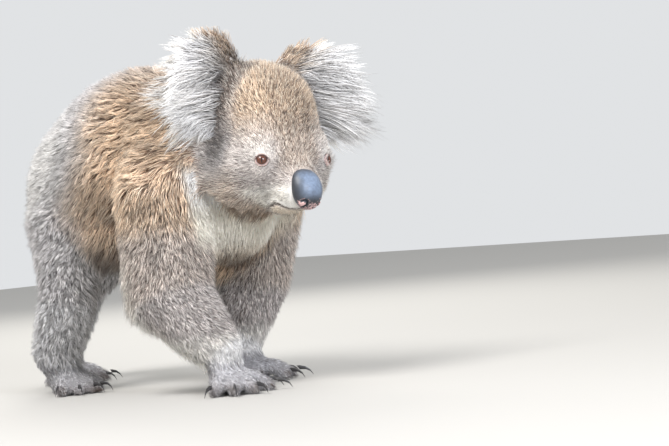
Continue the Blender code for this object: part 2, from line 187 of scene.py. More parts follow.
def add_light():
    chest = (0.0, -0.05, 0.22)
    add_lamp("key_lamp", (-1.5, -0.4, 2.1), chest, 1.3, 76, "#fffdfb")
    add_lamp("fill_lamp", (-0.6, -2.6, 1.0), chest, 0.9, 44, "#f3f6ff")
    add_lamp("rim_lamp", (1.3, 1.4, 1.5), chest, 1.2, 28, "#fffdf8")
    world = bpy.data.worlds.new("studio")
    world.use_nodes = True
    world.node_tree.nodes["Background"].inputs["Color"].default_value = linear("#eef0f2")
    world.node_tree.nodes["Background"].inputs["Strength"].default_value = 0.88
    bpy.context.scene.world = world
    bpy.context.scene.view_settings.view_transform = "Standard"


# ================================================================ landmarks, from the solids
def middle(node):
    low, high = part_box(node)
    return (low + high) / 2


def as_array(vector):
    return np.array(vector, float)


EYE_RADIUS = 7.75 * MM
EYE_DEPTH = 55.8 * MM              # eyes, forwards of the head's centre
EYE_SINK = 3.0 * MM                # and below it
SOCKET_HEIGHT = 2.8 * MM           # the skin round each eye, forwards of the eye's middle
EYES = {side: middle("eye_" + side) for side in SIDES}
ACROSS = (EYES["left"] - EYES["right"]).normalized()
UP = (Vector((0, 0, 1)) - ACROSS * ACROSS.z).normalized()
AHEAD = ACROSS.cross(UP)
BETWEEN_EYES = (EYES["left"] + EYES["right"]) / 2
HEAD_CENTRE = BETWEEN_EYES - AHEAD * EYE_DEPTH + UP * EYE_SINK
HEAD_AXES = np.array([ACROSS, AHEAD, UP], float)        # rows: across, ahead, up
UP_ARRAY = HEAD_AXES[2]
HEAD_SPOT = as_array(HEAD_CENTRE)
NOSE_CENTRE = middle("nose_leather") - ACROSS * 2.6 * MM
NOSE_RADII = np.array((19.3, 14.0, 22.5)) * MM


def in_head(points):
    """Points as (across, ahead, up) from the head's centre."""
    return (points - HEAD_SPOT) @ HEAD_AXES.T


def by_eye(side, outwards, ahead, up):
    """The place that is so many millimetres outwards, forwards and upwards of an eye's middle."""
    return as_array(EYES[side]) + np.array((outwards * SIDES[side], ahead, up)) * MM @ HEAD_AXES


def eye_facing(side):
    """The way an eye looks: straight out of the head."""
    return unit(as_array(EYES[side]) - HEAD_SPOT)


def from_nose(points):
    """How far points are from the nose's middle, in shares of its radii."""
    return np.linalg.norm((points - as_array(NOSE_CENTRE)) @ HEAD_AXES.T / NOSE_RADII, axis=1)


FLESH = ["trunk", "neck", "head", "lower_jaw"]
for part in ("upper_arm", "forearm", "hand", "thigh", "shank", "foot"):
    FLESH += [f"{part}_{side}" for side in SIDES]
EARS = [f"ear_{side}" for side in SIDES]

# What each region of the coat is like: how deep it lies over the skin, how long its tufts are and
# how broad, the angles at which they leave the skin and end, and how many grow on a square
# centimetre. Depth, length and breadth are in millimetres, angles in degrees.
DEPTH, LENGTH, BREADTH, RISE, SETTLE, CROWD = range(6)
REGIONS = {
    "trunk":     (11.0, 27.0, 1.40, 44, 4, 25),
    "neck":      (11.0, 24.0, 1.40, 44, 6, 21),
    "head":      (5.0, 9.0, 0.78, 50, 20, 90),
    "lower_jaw": (2.0, 4.5, 0.60, 40, 6, 90),
    "upper_arm": (8.0, 15.0, 1.15, 50, 22, 36),
    "forearm":   (6.5, 11.5, 1.00, 50, 24, 46),
    "hand":      (2.4, 6.5, 0.95, 38, 8, 42),
    "thigh":     (9.0, 14.0, 1.20, 58, 34, 38),
    "shank":     (7.0, 12.0, 1.10, 58, 34, 42),
    "foot":      (2.6, 7.5, 1.05, 38, 8, 36),
    "ear":       (0.0, 26.0, 1.00, 30, 10, 48),
}
KINDS = list(REGIONS)
DEGREE = math.radians(1)
PER_CM2 = 1e4


def among(kind, *names):
    """Whether each point's or triangle's kind of region is one of these."""
    return np.isin(kind, [KINDS.index(name) for name in names])


# ================================================================ the surface, in arrays
def mesh_arrays(data):
    """A mesh's points, its triangles' corners and its edges."""
    count = len(data.vertices)
    points = np.empty(count * 3, np.float32)
    data.vertices.foreach_get("co", points)
    data.calc_loop_triangles()
    triangles = np.empty(len(data.loop_triangles) * 3, np.int32)
    data.loop_triangles.foreach_get("vertices", triangles)
    edges = np.empty(len(data.edges) * 2, np.int32)
    data.edges.foreach_get("vertices", edges)
    return points.reshape(-1, 3).astype(float), triangles.reshape(-1, 3), edges.reshape(-1, 2)


def unit(vectors):
    return vectors / np.maximum(np.linalg.norm(vectors, axis=-1, keepdims=True), 1e-12)


def normals_of(points, triangles):
    a, b, c = (points[triangles[:, k]] for k in range(3))
    face = np.cross(b - a, c - a)
    total = np.zeros_like(points)
    for k in range(3):
        for axis in range(3):
            total[:, axis] += np.bincount(triangles[:, k], face[:, axis], len(points))
    return unit(total)


def spread(values, edges, rounds, share=0.5):
    """Evens a value out over the surface, a little each round."""
    values = np.array(values, float)
    flat = values.reshape(len(values), -1)
    first, second = edges[:, 0], edges[:, 1]
    degree = np.maximum(np.bincount(first, None, len(flat)) + np.bincount(second, None, len(flat)), 1)
    for _ in range(rounds):
        for k in range(flat.shape[1]):
            column = flat[:, k]
            near = np.bincount(first, column[second], len(flat))
            near += np.bincount(second, column[first], len(flat))
            flat[:, k] += share * (near / degree - column)
    return flat.reshape(values.shape)


def ramp(value, low, high):
    """0 below low, 1 above high, and a smooth rise between. Low may be the greater of the two."""
    t = np.clip((value - low) / (high - low), 0, 1)
    return t * t * (3 - 2 * t)


def bump_at(points, centre, radius):
    """1 at a centre, falling smoothly to nothing at about twice the radius."""
    return np.exp(-((points - centre) ** 2).sum(-1) / radius ** 2)


def mesh_from(name, points, faces, corners=3):
    """A mesh from arrays, every face with the same number of corners."""
    data = bpy.data.meshes.new(name)
    data.vertices.add(len(points))
    data.vertices.foreach_set("co", np.ascontiguousarray(points, np.float32).ravel())
    data.loops.add(faces.size)
    data.loops.foreach_set("vertex_index", np.ascontiguousarray(faces, np.int32).ravel())
    data.polygons.add(len(faces))
    data.polygons.foreach_set("loop_start", np.arange(0, faces.size, corners, dtype=np.int32))
    data.polygons.foreach_set("loop_total", np.full(len(faces), corners, np.int32))
    data.update(calc_edges=True)
    data.shade_smooth()
    return data


def put_attribute(data, name, values):
    data.attributes.new(name, "FLOAT", "POINT").data.foreach_set(
        "value", np.ascontiguousarray(values, np.float32))


# ================================================================ skin
SWELL = 0.7 * MM                   # closes the gaps between the solids before they melt together
FIRST_VOXEL = 2.6 * MM
SKIN_VOXEL = 2.3 * MM
SHRINK_STEPS = 10


def solid_points(node):
    """A solid's welded mesh."""
    mesh = bmesh.new()
    mesh.from_mesh(NODES[node].data)
    bmesh.ops.remove_doubles(mesh, verts=mesh.verts, dist=1e-6)
    data = bpy.data.meshes.new(node + "_copy")
    mesh.to_mesh(data)
    mesh.free()
    points, triangles, _ = mesh_arrays(data)
    bpy.data.meshes.remove(data)
    return points, triangles


def finder_of(points, triangles):
    """Finds the nearest place on a surface."""
    return BVHTree.FromPolygons([Vector(p) for p in points], triangles.tolist())


def gather(nodes, swell):
    """The solids as one cloud of points and triangles, with each triangle's kind of region."""
    points, triangles, kinds, start = [], [], [], 0
    for node in nodes:
        co, tri = solid_points(node)
        points.append(co + normals_of(co, tri) * swell)
        triangles.append(tri + start)
        kind = node.removesuffix("_left").removesuffix("_right")
        kinds.append(np.full(len(tri), KINDS.index(kind)))
        start += len(co)
    return np.concatenate(points), np.concatenate(triangles), np.concatenate(kinds)


def melt(name, points, triangles, voxel, smoothing):
    """Melts overlapping closed shapes into one surface of even quads."""
    form = object_of(name, mesh_from(name, points, triangles))
    remesh = form.modifiers.new("melt", "REMESH")
    remesh.mode = "VOXEL"
    remesh.voxel_size = voxel
    smooth = form.modifiers.new("soften", "SMOOTH")
    smooth.iterations = smoothing
    graph = bpy.context.evaluated_depsgraph_get()
    graph.update()
    data = bpy.data.meshes.new_from_object(form.evaluated_get(graph))
    bpy.data.objects.remove(form)
    return data


def nearest_kind(points, finder, kinds):
    return np.array([kinds[finder.find_nearest(Vector(p))[2]] for p in points])


def region_values(kind, column):
    table = np.array([REGIONS[name][column] for name in KINDS], float)
    return table[kind]


PINNA_RADII = np.array((44.0, 5.5, 53.0)) * MM
PINNA_CUP = 6 * MM                 # how far the rim stands before the middle
EAR_DROOP = {"right": 0.10, "left": 0.32}     # how much more the lowest hair of each ear hangs
EAR_SHADE = {"right": 24 * MM, "left": 8 * MM}        # how far the dark root of each ear reaches: its own dark root, with painted shade in the hollow by the head


def pinna_frame(side):
    """An ear's centre, and its axes: outwards, the way it opens, and up."""
    sign = SIDES[side]
    points, _ = solid_points("ear_" + side)
    order = np.argsort(points @ as_array(ACROSS) * sign)
    inner, outer = Vector(points[order[0]]), Vector(points[order[-1]])
    span = outer - inner
    outwards = ((span - UP * span.dot(UP)).normalized() + UP * 0.28).normalized()
    centre = inner + outwards * 34 * MM - AHEAD * 4 * MM
    centre += UP * ((points[:, 2].max() + points[:, 2].min()) / 2 - centre.z)
    opening = (AHEAD - outwards * AHEAD.dot(outwards)).normalized()
    return centre, outwards, opening, opening.cross(outwards) * sign


def level_of(way):
    """A direction without its share of the head's up."""
    return as_array(way - UP * way.dot(UP))


def in_ear(points, side):
    """Points as (outwards, before, up) from an ear's centre, in shares of the leaf's radii."""
    centre, *axes = pinna_frame(side)
    return (points - as_array(centre)) @ np.array(axes, float).T / PINNA_RADII


def pinna(side):
    """The ear under its hair: a cupped leaf, thin at the rim."""
    centre, *axes = pinna_frame(side)
    data = made_mesh("pinna", bmesh.ops.create_icosphere, subdivisions=4, radius=1.0)
    points, triangles, _ = mesh_arrays(data)
    bpy.data.meshes.remove(data)
    cup = points[:, 0] ** 2 + points[:, 2] ** 2
    points *= PINNA_RADII
    points[:, 1] += PINNA_CUP * cup
    if SIDES[side] > 0:
        triangles = triangles[:, ::-1]
    return points @ np.array(axes, float) + as_array(centre), triangles


def sit_in_skin(points):
    """How near a point is to the eyes, nose or mouth, where the coat is thinnest: 1 at them."""
    near = bump_at(points, as_array(NOSE_CENTRE), 30 * MM)
    for side in SIDES:
        near = np.maximum(near, 0.95 * bump_at(points, as_array(EYES[side]), 17 * MM))
    return near


def shrink_to_skin(data, finder, kinds):
    """Draws the melted solids in by the coat's depth. Soles stay on the floor."""
    points, triangles, edges = mesh_arrays(data)
    depth = region_values(nearest_kind(points, finder, kinds), DEPTH) * MM
    depth = spread(depth, edges, 30)
    depth *= 1 - 0.85 * sit_in_skin(points)
    sole = ramp(points[:, 2], 6 * MM, 2 * MM)
    for _ in range(SHRINK_STEPS):
        points -= normals_of(points, triangles) * ((depth + SWELL) / SHRINK_STEPS)[:, None]
        points = spread(points, edges, 1, 0.35)
    points[:, 2] = np.maximum(points[:, 2], 0.4 * MM)
    points[:, 2] -= sole * np.maximum(points[:, 2] - 0.5 * MM, 0)
    return points, triangles


def seat_eyes(points):
    """Lifts or lowers the skin round each eye, so that it meets the outer edge of the lids."""
    for side in SIDES:
        facing = eye_facing(side)
        away = points - as_array(EYES[side])
        height = away @ facing
        off_axis = np.linalg.norm(away - height[:, None] * facing, axis=1)
        beside = (off_axis > 8 * MM) & (off_axis < 12 * MM) & (np.abs(height) < 12 * MM)
        lift = (SOCKET_HEIGHT - height[beside].mean()) * np.exp(-(off_axis / (24 * MM)) ** 2)
        points += (lift * ramp(height, -22 * MM, -12 * MM))[:, None] * facing
    return points


def clear_eyes(points):
    """Draws the skin in behind each eyeball, so that the lids alone meet it."""
    for side in SIDES:
        away = points - as_array(EYES[side])
        distance = np.linalg.norm(away, axis=1)
        in_front = (away @ eye_facing(side)) / np.maximum(distance, 1e-9)
        inside = (distance < 12.5 * MM) & (in_front > 0.05)
        pull = ramp(in_front, 0.05, 0.45) * np.clip(distance - 6.8 * MM, 0, None)
        points[inside] -= unit(away[inside]) * pull[inside, None]
    return points


MOUTH_HEIGHT = -49 * MM            # the lips' meeting line, from the head's centre, at its highest
MOUTH_PEAK = 52 * MM               # and there, forwards of it
MOUTH_BACK = 30 * MM               # its corners, forwards of the head's centre


def mouth_distance(local):
    """How far a point is above (or below) the meeting line of the lips, which dips to the chin in
    front and slopes down to its corners behind."""
    _, ahead, up = local.T
    line = MOUTH_HEIGHT - 8 * MM * ramp(ahead, MOUTH_PEAK, MOUTH_PEAK + 11 * MM)
    return up - line + 0.26 * np.clip(MOUTH_PEAK - ahead, 0, None)


def carve_face(points, normals):
    """The mouth's crease, the brows over the eyes, the hollows before them and the lips' roundness."""
    local = in_head(points)
    _, ahead, up = local.T
    on_face = ramp(ahead, MOUTH_BACK - 6 * MM, MOUTH_BACK + 2 * MM)
    gap = mouth_distance(local)
    crease = np.exp(-(gap / (1.6 * MM)) ** 2) * on_face
    lips = np.exp(-((np.abs(gap) - 4.5 * MM) / (3 * MM)) ** 2) * on_face
    round_nose = np.exp(-((from_nose(points) - 1.15) / 0.45) ** 2)
    muzzle = round_nose * ramp(gap, 0.0, 4 * MM) * ramp(up, 0, -25 * MM)
    push = 1.3 * MM * lips - 2.8 * MM * crease + 2.6 * MM * muzzle
    for side in SIDES:
        brow, hollow, bag = by_eye(side, -3, 0, 13), by_eye(side, -14, 12, -8), by_eye(side, 0, 0, -12.5)
        push += 1.6 * MM * (bump_at(points, brow, 9 * MM) - bump_at(points, hollow, 9 * MM))
        push += 0.7 * MM * bump_at(points, bag, 5 * MM)
    return points + normals * push[:, None]


def refine_face(data):
    """Halves the mesh's spacing over the front of the face, for the lips and folds."""
    mesh = bmesh.new()
    mesh.from_mesh(data)
    points = np.array([v.co for v in mesh.verts])
    local = in_head(points)
    wanted = (local[:, 1] > 20 * MM) & (np.linalg.norm(local, axis=1) < 0.12) & (local[:, 2] < 25 * MM)
    edges = [edge for edge in mesh.edges if wanted[edge.verts[0].index] and wanted[edge.verts[1].index]]
    bmesh.ops.subdivide_edges(mesh, edges=edges, cuts=1, use_grid_fill=True)
    mesh.to_mesh(data)
    mesh.free()


# The lids' section, from their edge on the eyeball outwards and in again under the skin: each
# row's radius about the eye's middle in millimetres, and its angle beyond the opening in degrees.
LID_ROWS = ((7.3, -3), (8.12, 0), (8.48, 2), (8.62, 6), (8.6, 12), (8.3, 20), (7.7, 30), (6.6, 33),
            (6.4, 10))
LID_TURNS = 48


def lid_ring(side):
    """The lids' rim round an eye: an almond of bare skin that lies on the eyeball."""
    sign = SIDES[side]
    centre, facing = as_array(EYES[side]), eye_facing(side)
    upright = unit(UP_ARRAY - facing * (UP_ARRAY @ facing))
    outer = np.cross(facing, upright) * -sign
    around = np.arange(LID_TURNS) * math.tau / LID_TURNS
    # The lids meet in corners, and the inner one reaches further down towards the nose.
    wide = 45 + 6 * np.maximum(-np.cos(around), 0) ** 6
    tall = np.where(np.sin(around) > 0, 38, 36)
    opening = 1 / np.sqrt((np.cos(around) / wide) ** 2 + (np.sin(around) / tall) ** 2)
    upper = ramp(np.sin(around), -0.15, 0.25)
    points, lashes, bare = [], [], []
    for radius, beyond in LID_ROWS:
        lashes.append(np.maximum(upper * ramp(beyond, 16, 8), 0.7 * ramp(beyond, 4, 1)))
        bare.append(np.full(LID_TURNS, ramp(beyond, 9, 5) if radius > 7 else 1.0))
        angle = np.radians(opening + beyond)[:, None]
        outwards = np.cos(around)[:, None] * outer + np.sin(around)[:, None] * upright
        points.append(centre + radius * MM * (np.cos(angle) * facing + np.sin(angle) * outwards))
    index = np.arange(len(LID_ROWS) * LID_TURNS).reshape(-1, LID_TURNS)
    after, below = np.roll(index, -1, axis=1), np.roll(index, -1, axis=0)
    both = np.roll(after, -1, axis=0)
    quads = np.stack([index, below, both, after], axis=-1).reshape(-1, 4)
    if sign < 0:
        quads = quads[:, ::-1]
    triangles = np.concatenate([quads[:, [0, 1, 2]], quads[:, [0, 2, 3]]])
    return np.concatenate(points), triangles, {"lash": np.concatenate(lashes), "bare": np.concatenate(bare)}


def add_lids(skin, points, triangles, marks, slot_number):
    """Adds a ring of lid to the skin, under its own material slot."""
    mesh = bmesh.new()
    mesh.from_mesh(skin)
    verts = [mesh.verts.new(p) for p in points]
    for name, values in marks.items():
        layer = mesh.verts.layers.float[name]
        for vert, value in zip(verts, values):
            vert[layer] = value
    for corners in triangles:
        face = mesh.faces.new([verts[i] for i in corners])
        face.material_index = slot_number
        face.smooth = True
    mesh.to_mesh(skin)
    mesh.free()


def make_skin():
    """The one skin under the coat, from muzzle to toes, ears included."""
    points, triangles, _ = gather(FLESH, SWELL)
    solids, solid_triangles, kinds = gather(FLESH + EARS, 0.0)
    finder = finder_of(solids, solid_triangles)
    melted = melt("melted_solids", points, triangles, FIRST_VOXEL, 3)
    points, triangles = shrink_to_skin(melted, finder, kinds)
    bpy.data.meshes.remove(melted)
    for side in SIDES:
        leaf, leaf_triangles = pinna(side)
        triangles = np.concatenate([triangles, leaf_triangles + len(points)])
        points = np.concatenate([points, leaf])
    data = melt("koala_skin", points, triangles, SKIN_VOXEL, 4)
    refine_face(data)
    points, triangles, edges = mesh_arrays(data)
    points = spread(points, edges, 2, 0.4)
    points = clear_eyes(seat_eyes(carve_face(points, normals_of(points, triangles))))
    points[:, 2] = np.maximum(points[:, 2], 0.3 * MM)
    move_points(data, points)
    data.shade_smooth()
    return data, finder, kinds


def unwrap(skin):
    """Unwraps the skin by its own shape. The coat's tufts take their places on this map."""
    skin.data.uv_layers.new(name="OFBake")
    bpy.ops.object.select_all(action="DESELECT")
    bpy.context.view_layer.objects.active = skin
    skin.select_set(True)
    bpy.ops.object.mode_set(mode="EDIT")
    bpy.ops.mesh.select_all(action="SELECT")
    bpy.ops.uv.smart_project(angle_limit=math.radians(66), island_margin=0.004)
    bpy.ops.object.mode_set(mode="OBJECT")


# ================================================================ lie of the coat and its marks
def share_of(hide, *names):
    """1 on these kinds of region, and falling softly to 0 across their borders."""
    return spread(among(hide["kind"], *names).astype(float), hide["edges"], 10)


def behind_mantle(points):
    """How far back a point is from where the mantle starts to fade. It ends sooner over the back."""
    return points[:, 1] + 45 * MM * ramp(points[:, 2], 0.215, 0.285)


def limb_direction(upper, lower):
    return as_array((middle(lower) - middle(upper)).normalized())


def claws_of(paw):
    return [middle(name) for name in NODES if name.startswith("claw_" + paw + "_")]


def lie_of_coat(hide):
    """Which way the hair lies at each point of the skin: nose to tail, and down each limb."""
    points, normals, kind = hide["points"], hide["normals"], hide["kind"]
    # Back along the trunk, and down over its sides.
    way = np.zeros_like(points)
    way[:, 1] = 1
    way[:, 2] = -0.35 - 0.75 * np.abs(normals[:, 0])
    # Out and down over the neck, and straight down on the chest and the rump.
    neck = among(kind, "neck")
    way[neck] = (0, 0.65, -0.75)
    way[neck, 0] = 0.9 * normals[neck, 0]
    front = among(kind, "neck", "trunk") & (normals[:, 1] < -0.3)
    front &= (points[:, 2] < 0.26) & (normals[:, 2] < 0.4)
    way[front] = (0, 0.1, -1.0)
    way[front, 0] = 0.35 * normals[front, 0]
    rear = among(kind, "trunk") & (normals[:, 1] > 0.5)
    way[rear] = (0, 0.2, -1.0)
    # Down each limb to the next, and out along the digits.
    left = points[:, 0] > 0
    chain = (("upper_arm", "forearm"), ("forearm", "hand"), ("thigh", "shank"), ("shank", "foot"))
    for side, here in (("left", left), ("right", ~left)):
        for upper, lower in chain:
            those = here & among(kind, upper)
            way[those] = limb_direction(f"{upper}_{side}", f"{lower}_{side}") + np.array((0, 0.25, 0))
        for paw in ("hand", "foot"):
            those = here & among(kind, paw)
            tips = claws_of(f"{paw}_{side}")
            ahead = sum(tips, Vector()) / len(tips) - middle(f"{paw}_{side}")
            way[those] = as_array(ahead.normalized()) + np.array((0, 0, -0.3))
    # Away from the nose over the head, parted round each eye, and outwards on the ears.
    on_head = among(kind, "head", "lower_jaw")
    rising = 0.15 * UP_ARRAY * ramp(in_head(points[on_head])[:, 2:], -10 * MM, 40 * MM)
    way[on_head] = unit(points[on_head] - as_array(NOSE_CENTRE + AHEAD * 6 * MM)) + rising
    for side in SIDES:
        eye = as_array(EYES[side])
        way += bump_at(points, eye, 12 * MM)[:, None] * unit(points - eye) * 2.2
        those = among(kind, "ear") & (points[:, 0] * SIDES[side] > 0)
        height = in_ear(points[those], side)[:, 2]
        slant = -0.30 + 0.45 * ramp(height, -0.1, 0.9) - 0.20 * ramp(height, -0.2, -1.0)
        way[those] = level_of(pinna_frame(side)[1]) + slant[:, None] * UP_ARRAY
    way -= normals * (way * normals).sum(1, keepdims=True)
    way = spread(unit(way), hide["edges"], 24)
    way -= normals * (way * normals).sum(1, keepdims=True)
    return unit(way)


def mark_coat(hide):
    """The markings, each from 0 to 1: warm tan, cream white and a dark brown that also stands for painted
    shade, over ash grey.
    """
    points, normals, bib = hide["points"], hide["normals"], hide["bib"]
    x, _, z = points.T
    side, ahead, up = in_head(points).T
    gap = mouth_distance(in_head(points))
    is_kind = {name: share_of(hide, name) for name in KINDS}
    body = is_kind["trunk"] + is_kind["neck"]
    head = np.clip(is_kind["head"] + is_kind["lower_jaw"], 0, 1)

    # Tan: the mantle, the upper arms, the crown, a stripe down between the eyes, and the cheeks.
    mantle = 1 - ramp(behind_mantle(points), 0.0, 0.085)
    warm = body * (0.10 + 0.82 * mantle)
    warm *= 1 - 0.30 * ramp(normals[:, 2], 0.72, 0.95)
    warm += is_kind["upper_arm"] * (0.44 + 0.46 * ramp(z, 0.172, 0.208)) + is_kind["forearm"] * 0.27
    warm += is_kind["thigh"] * 0.10
    crown = ramp(up, 5 * MM, 60 * MM)
    bridge = ramp(np.abs(side), 34 * MM, 14 * MM) * ramp(up, -30 * MM, 0)
    warm += head * (0.30 + 0.66 * crown + 0.30 * bridge * (1 - crown))
    warm += head * 0.35 * ramp(up, 0, -28 * MM) * ramp(ahead, 45 * MM, 20 * MM)

    # Dark brown: a stripe down between the eyes, the mouth's line, and the digits where the claws come out.
    # It is also painted shade:
    # under the belly, on the top of the back and the crown against the light from above, on the limbs' inner
    # sides between the limbs, and low on the hands and feet near the floor.
    umber_and_shade = 0.20 * (is_kind["hand"] + is_kind["foot"]) * ramp(z, 0.064, 0.022)
    umber_and_shade += body * (0.75 * ramp(normals[:, 2], -0.30, -0.80) + 0.32 * ramp(normals[:, 2], 0.45, 0.90))
    umber_and_shade += head * (0.05 + 0.15 * crown + 0.24 * bridge)
    umber_and_shade += head * np.exp(-(gap / (1.8 * MM)) ** 2) * ramp(ahead, MOUTH_BACK - 6 * MM, MOUTH_BACK)
    inner = ramp(normals[:, 0] * np.sign(x), -0.25, -0.75)
    umber_and_shade += 0.55 * (is_kind["thigh"] + is_kind["shank"]) * inner
    umber_and_shade += 0.35 * (is_kind["upper_arm"] + is_kind["forearm"]) * inner
    for name in SIDES:
        for paw in ("hand", "foot"):
            for claw in claws_of(f"{paw}_{name}"):
                umber_and_shade += 0.72 * bump_at(points, as_array(claw), 16 * MM)

    # Cream: the bib, the lips, a straw-coloured chin, the lids, the fringe behind each elbow, the
    # wrists, the sides of the rump, the shanks and the ears.
    cream = bib.copy()
    warm += bib * (0.60 * ramp(z, 0.235, 0.200) - warm)
    lip = head * ramp(up, -26 * MM, -37 * MM) * ramp(ahead, 24 * MM, 38 * MM)
    cream += 0.92 * lip * ramp(gap, 0.0, 2.5 * MM)
    chin = head * ramp(gap, -1.5 * MM, -4 * MM) * ramp(ahead, 34 * MM, 48 * MM)
    cream += 0.45 * chin
    warm += 0.50 * chin
    for name in SIDES:
        cream += 0.45 * bump_at(points, by_eye(name, 0, 0, 9), 11 * MM)
        cream += 0.30 * bump_at(points, as_array(EYES[name]), 13 * MM)
    elbow = (is_kind["forearm"] + 0.7 * is_kind["upper_arm"]) * ramp(normals[:, 1], 0.0, 0.6)
    elbow *= ramp(z, 0.175, 0.130)
    cream += 0.85 * elbow
    cream += 0.75 * (is_kind["forearm"] + is_kind["hand"]) * ramp(z, 0.075, 0.058) * ramp(z, 0.030, 0.040)
    cream += 0.60 * body * ramp(behind_mantle(points), 0.05, 0.12) * ramp(normals[:, 2], 0.85, 0.45)
    cream += 0.34 * is_kind["shank"] + 0.12 * is_kind["thigh"]
    warm += 0.45 * is_kind["ear"]
    cream += 0.35 * is_kind["ear"]
    # Beside each ear's root the head is dark with painted shade in the fold where the ear stands up from it,
    # then greyer than the crown.
    for name in SIDES:
        out, before, high = in_ear(points, name).T
        beside = head * ramp(out, -0.78, -0.42) * ramp(before, 7.5, 5.5)
        root = head * ramp(out, -1.15, -0.85) * ramp(before, 6.5, 5.0)
        umber_and_shade += 0.70 * root * ramp(high, -0.75, -0.10) * ramp(high, 0.9, 0.5)
        warm *= 1 - 0.45 * beside
    umber_and_shade *= 1 - np.clip(bib, 0, 1)
    for name, mark in (("warm", warm), ("cream", cream), ("umber_and_shade", umber_and_shade)):
        hide[name] = np.clip(mark, 0, 1)


def survey(skin, finder, kinds):
    """Everything that the coat needs to know at each point of the skin."""
    data = skin.data
    points, triangles, edges = mesh_arrays(data)
    loops = np.empty(len(data.loop_triangles) * 3, np.int32)
    data.loop_triangles.foreach_get("loops", loops)
    map_places = np.empty(len(data.loops) * 2, np.float32)
    data.uv_layers["OFBake"].data.foreach_get("uv", map_places)
    bare = np.empty(len(points), np.float32)
    data.attributes["bare"].data.foreach_get("value", bare)
    hide = {
        "bare": bare, "points": points, "triangles": triangles, "edges": edges,
        "normals": normals_of(points, triangles),
        "kind": nearest_kind(points, finder, kinds),
        "map": map_places.reshape(-1, 2)[loops.reshape(-1, 3)].astype(float),
    }
    for side in SIDES:
        reach = in_ear(points, side)
        reach[:, 1] *= 0.35
        on_ear = (np.linalg.norm(reach, axis=1) < 1.15) & (reach[:, 0] > -0.75)
        hide["kind"][on_ear] = KINDS.index("ear")
    for name, column, measure, rounds in (("length", LENGTH, MM, 24), ("breadth", BREADTH, MM, 24),
                                          ("rise", RISE, DEGREE, 24), ("settle", SETTLE, DEGREE, 24),
                                          ("crowd", CROWD, PER_CM2, 12)):
        hide[name] = spread(region_values(hide["kind"], column), edges, rounds) * measure
    hide["bib"] = bib_at(hide)
    shape_body_coat(hide)
    shape_face_coat(hide)
    hide["lie"] = lie_of_coat(hide)
    mark_coat(hide)
    return hide


def bib_at(hide):
    """1 on the pale bib of the throat and chest, 0 off it."""
    x, y, z = hide["points"].T
    bib = share_of(hide, "trunk", "neck", "upper_arm")
    bib *= ramp(y + 0.40 * np.abs(x), -0.088, -0.112) * ramp(hide["normals"][:, 1], -0.20, -0.55)
    return bib * ramp(z, 0.154, 0.178) * ramp(z, 0.262, 0.238) * ramp(np.abs(x), 0.095, 0.083)


def alter(hide, where, length=0.0, breadth=0.0, crowd=0.0, rise=0.0, settle=0.0):
    """Changes the coat where this is 1: its measures by a share of them, its angles by degrees."""
    for name, share in (("length", length), ("breadth", breadth), ("crowd", crowd)):
        hide[name] *= 1 + share * where
    for name, degrees in (("rise", rise), ("settle", settle)):
        hide[name] += degrees * DEGREE * where


def shape_body_coat(hide):
    """Short upright wool behind the mantle, long locks over the shoulders, and a fringe behind each
    foreleg."""
    z, bib = hide["points"][:, 2], hide["bib"]
    trunk, upper_arm, forearm = (share_of(hide, name) for name in ("trunk", "upper_arm", "forearm"))
    woolly = trunk * ramp(behind_mantle(hide["points"]), 0.0, 0.07)
    alter(hide, woolly, length=-0.42, breadth=-0.08, rise=14, settle=28)
    alter(hide, ramp(woolly, 0.0, 0.6), crowd=0.75)
    alter(hide, trunk - woolly, breadth=-0.10, crowd=0.18)
    alter(hide, upper_arm * ramp(z, 0.165, 0.205), length=0.60, breadth=0.25, crowd=-0.30, rise=-8,
          settle=-16)
    alter(hide, bib, length=-0.25, breadth=-0.30, crowd=1.10, settle=3)
    alter(hide, trunk * ramp(hide["normals"][:, 2], 0.0, -0.5) * (1 - bib), crowd=-0.50)
    behind = (forearm + upper_arm) * ramp(hide["normals"][:, 1], 0.05, 0.65)
    alter(hide, behind * ramp(z, 0.180, 0.130), length=0.85, settle=-14)


def shape_face_coat(hide):
    """Shorter tufts towards the eyes and nose, none on lids, lips and soles, longer on the cheeks."""
    points = hide["points"]
    side, ahead, up = in_head(points).T
    alter(hide, np.clip(sit_in_skin(points), 0, 1), length=-0.62, breadth=-0.25)
    head = among(hide["kind"], "head")
    cheek = ramp(np.abs(side), 45 * MM, 66 * MM) * ramp(up, 20 * MM, -20 * MM) * head
    alter(hide, cheek, length=0.60)
    alter(hide, ramp(up, 45 * MM, 85 * MM) * head, length=0.25, rise=14, settle=30)
    for name in SIDES:
        eye = as_array(EYES[name])
        hide["crowd"] *= ramp(np.linalg.norm(points - eye, axis=1), 7.9 * MM, 8.15 * MM)
        alter(hide, bump_at(points, by_eye(name, 9, -13, 0), 10 * MM), length=1.1, rise=12, settle=22)
        close = bump_at(points, eye, 10 * MM)
        hide["rise"] *= 1 - 0.55 * close
        hide["settle"] *= 1 - 0.50 * close
    hide["crowd"] *= ramp(from_nose(points), 0.96, 1.06)
    mouth = np.abs(mouth_distance(in_head(points)))
    on_face = (ahead > MOUTH_BACK) & (up < -38 * MM) & head
    hide["crowd"][on_face] *= ramp(mouth[on_face], 1.0 * MM, 1.9 * MM)
    hide["length"][on_face] *= 0.55 + 0.45 * ramp(mouth[on_face], 3 * MM, 9 * MM)
    hide["rise"][on_face] *= 0.6
    hide["crowd"] *= (1 - hide["bare"]) * ramp(points[:, 2], 1.5 * MM, 3.5 * MM)


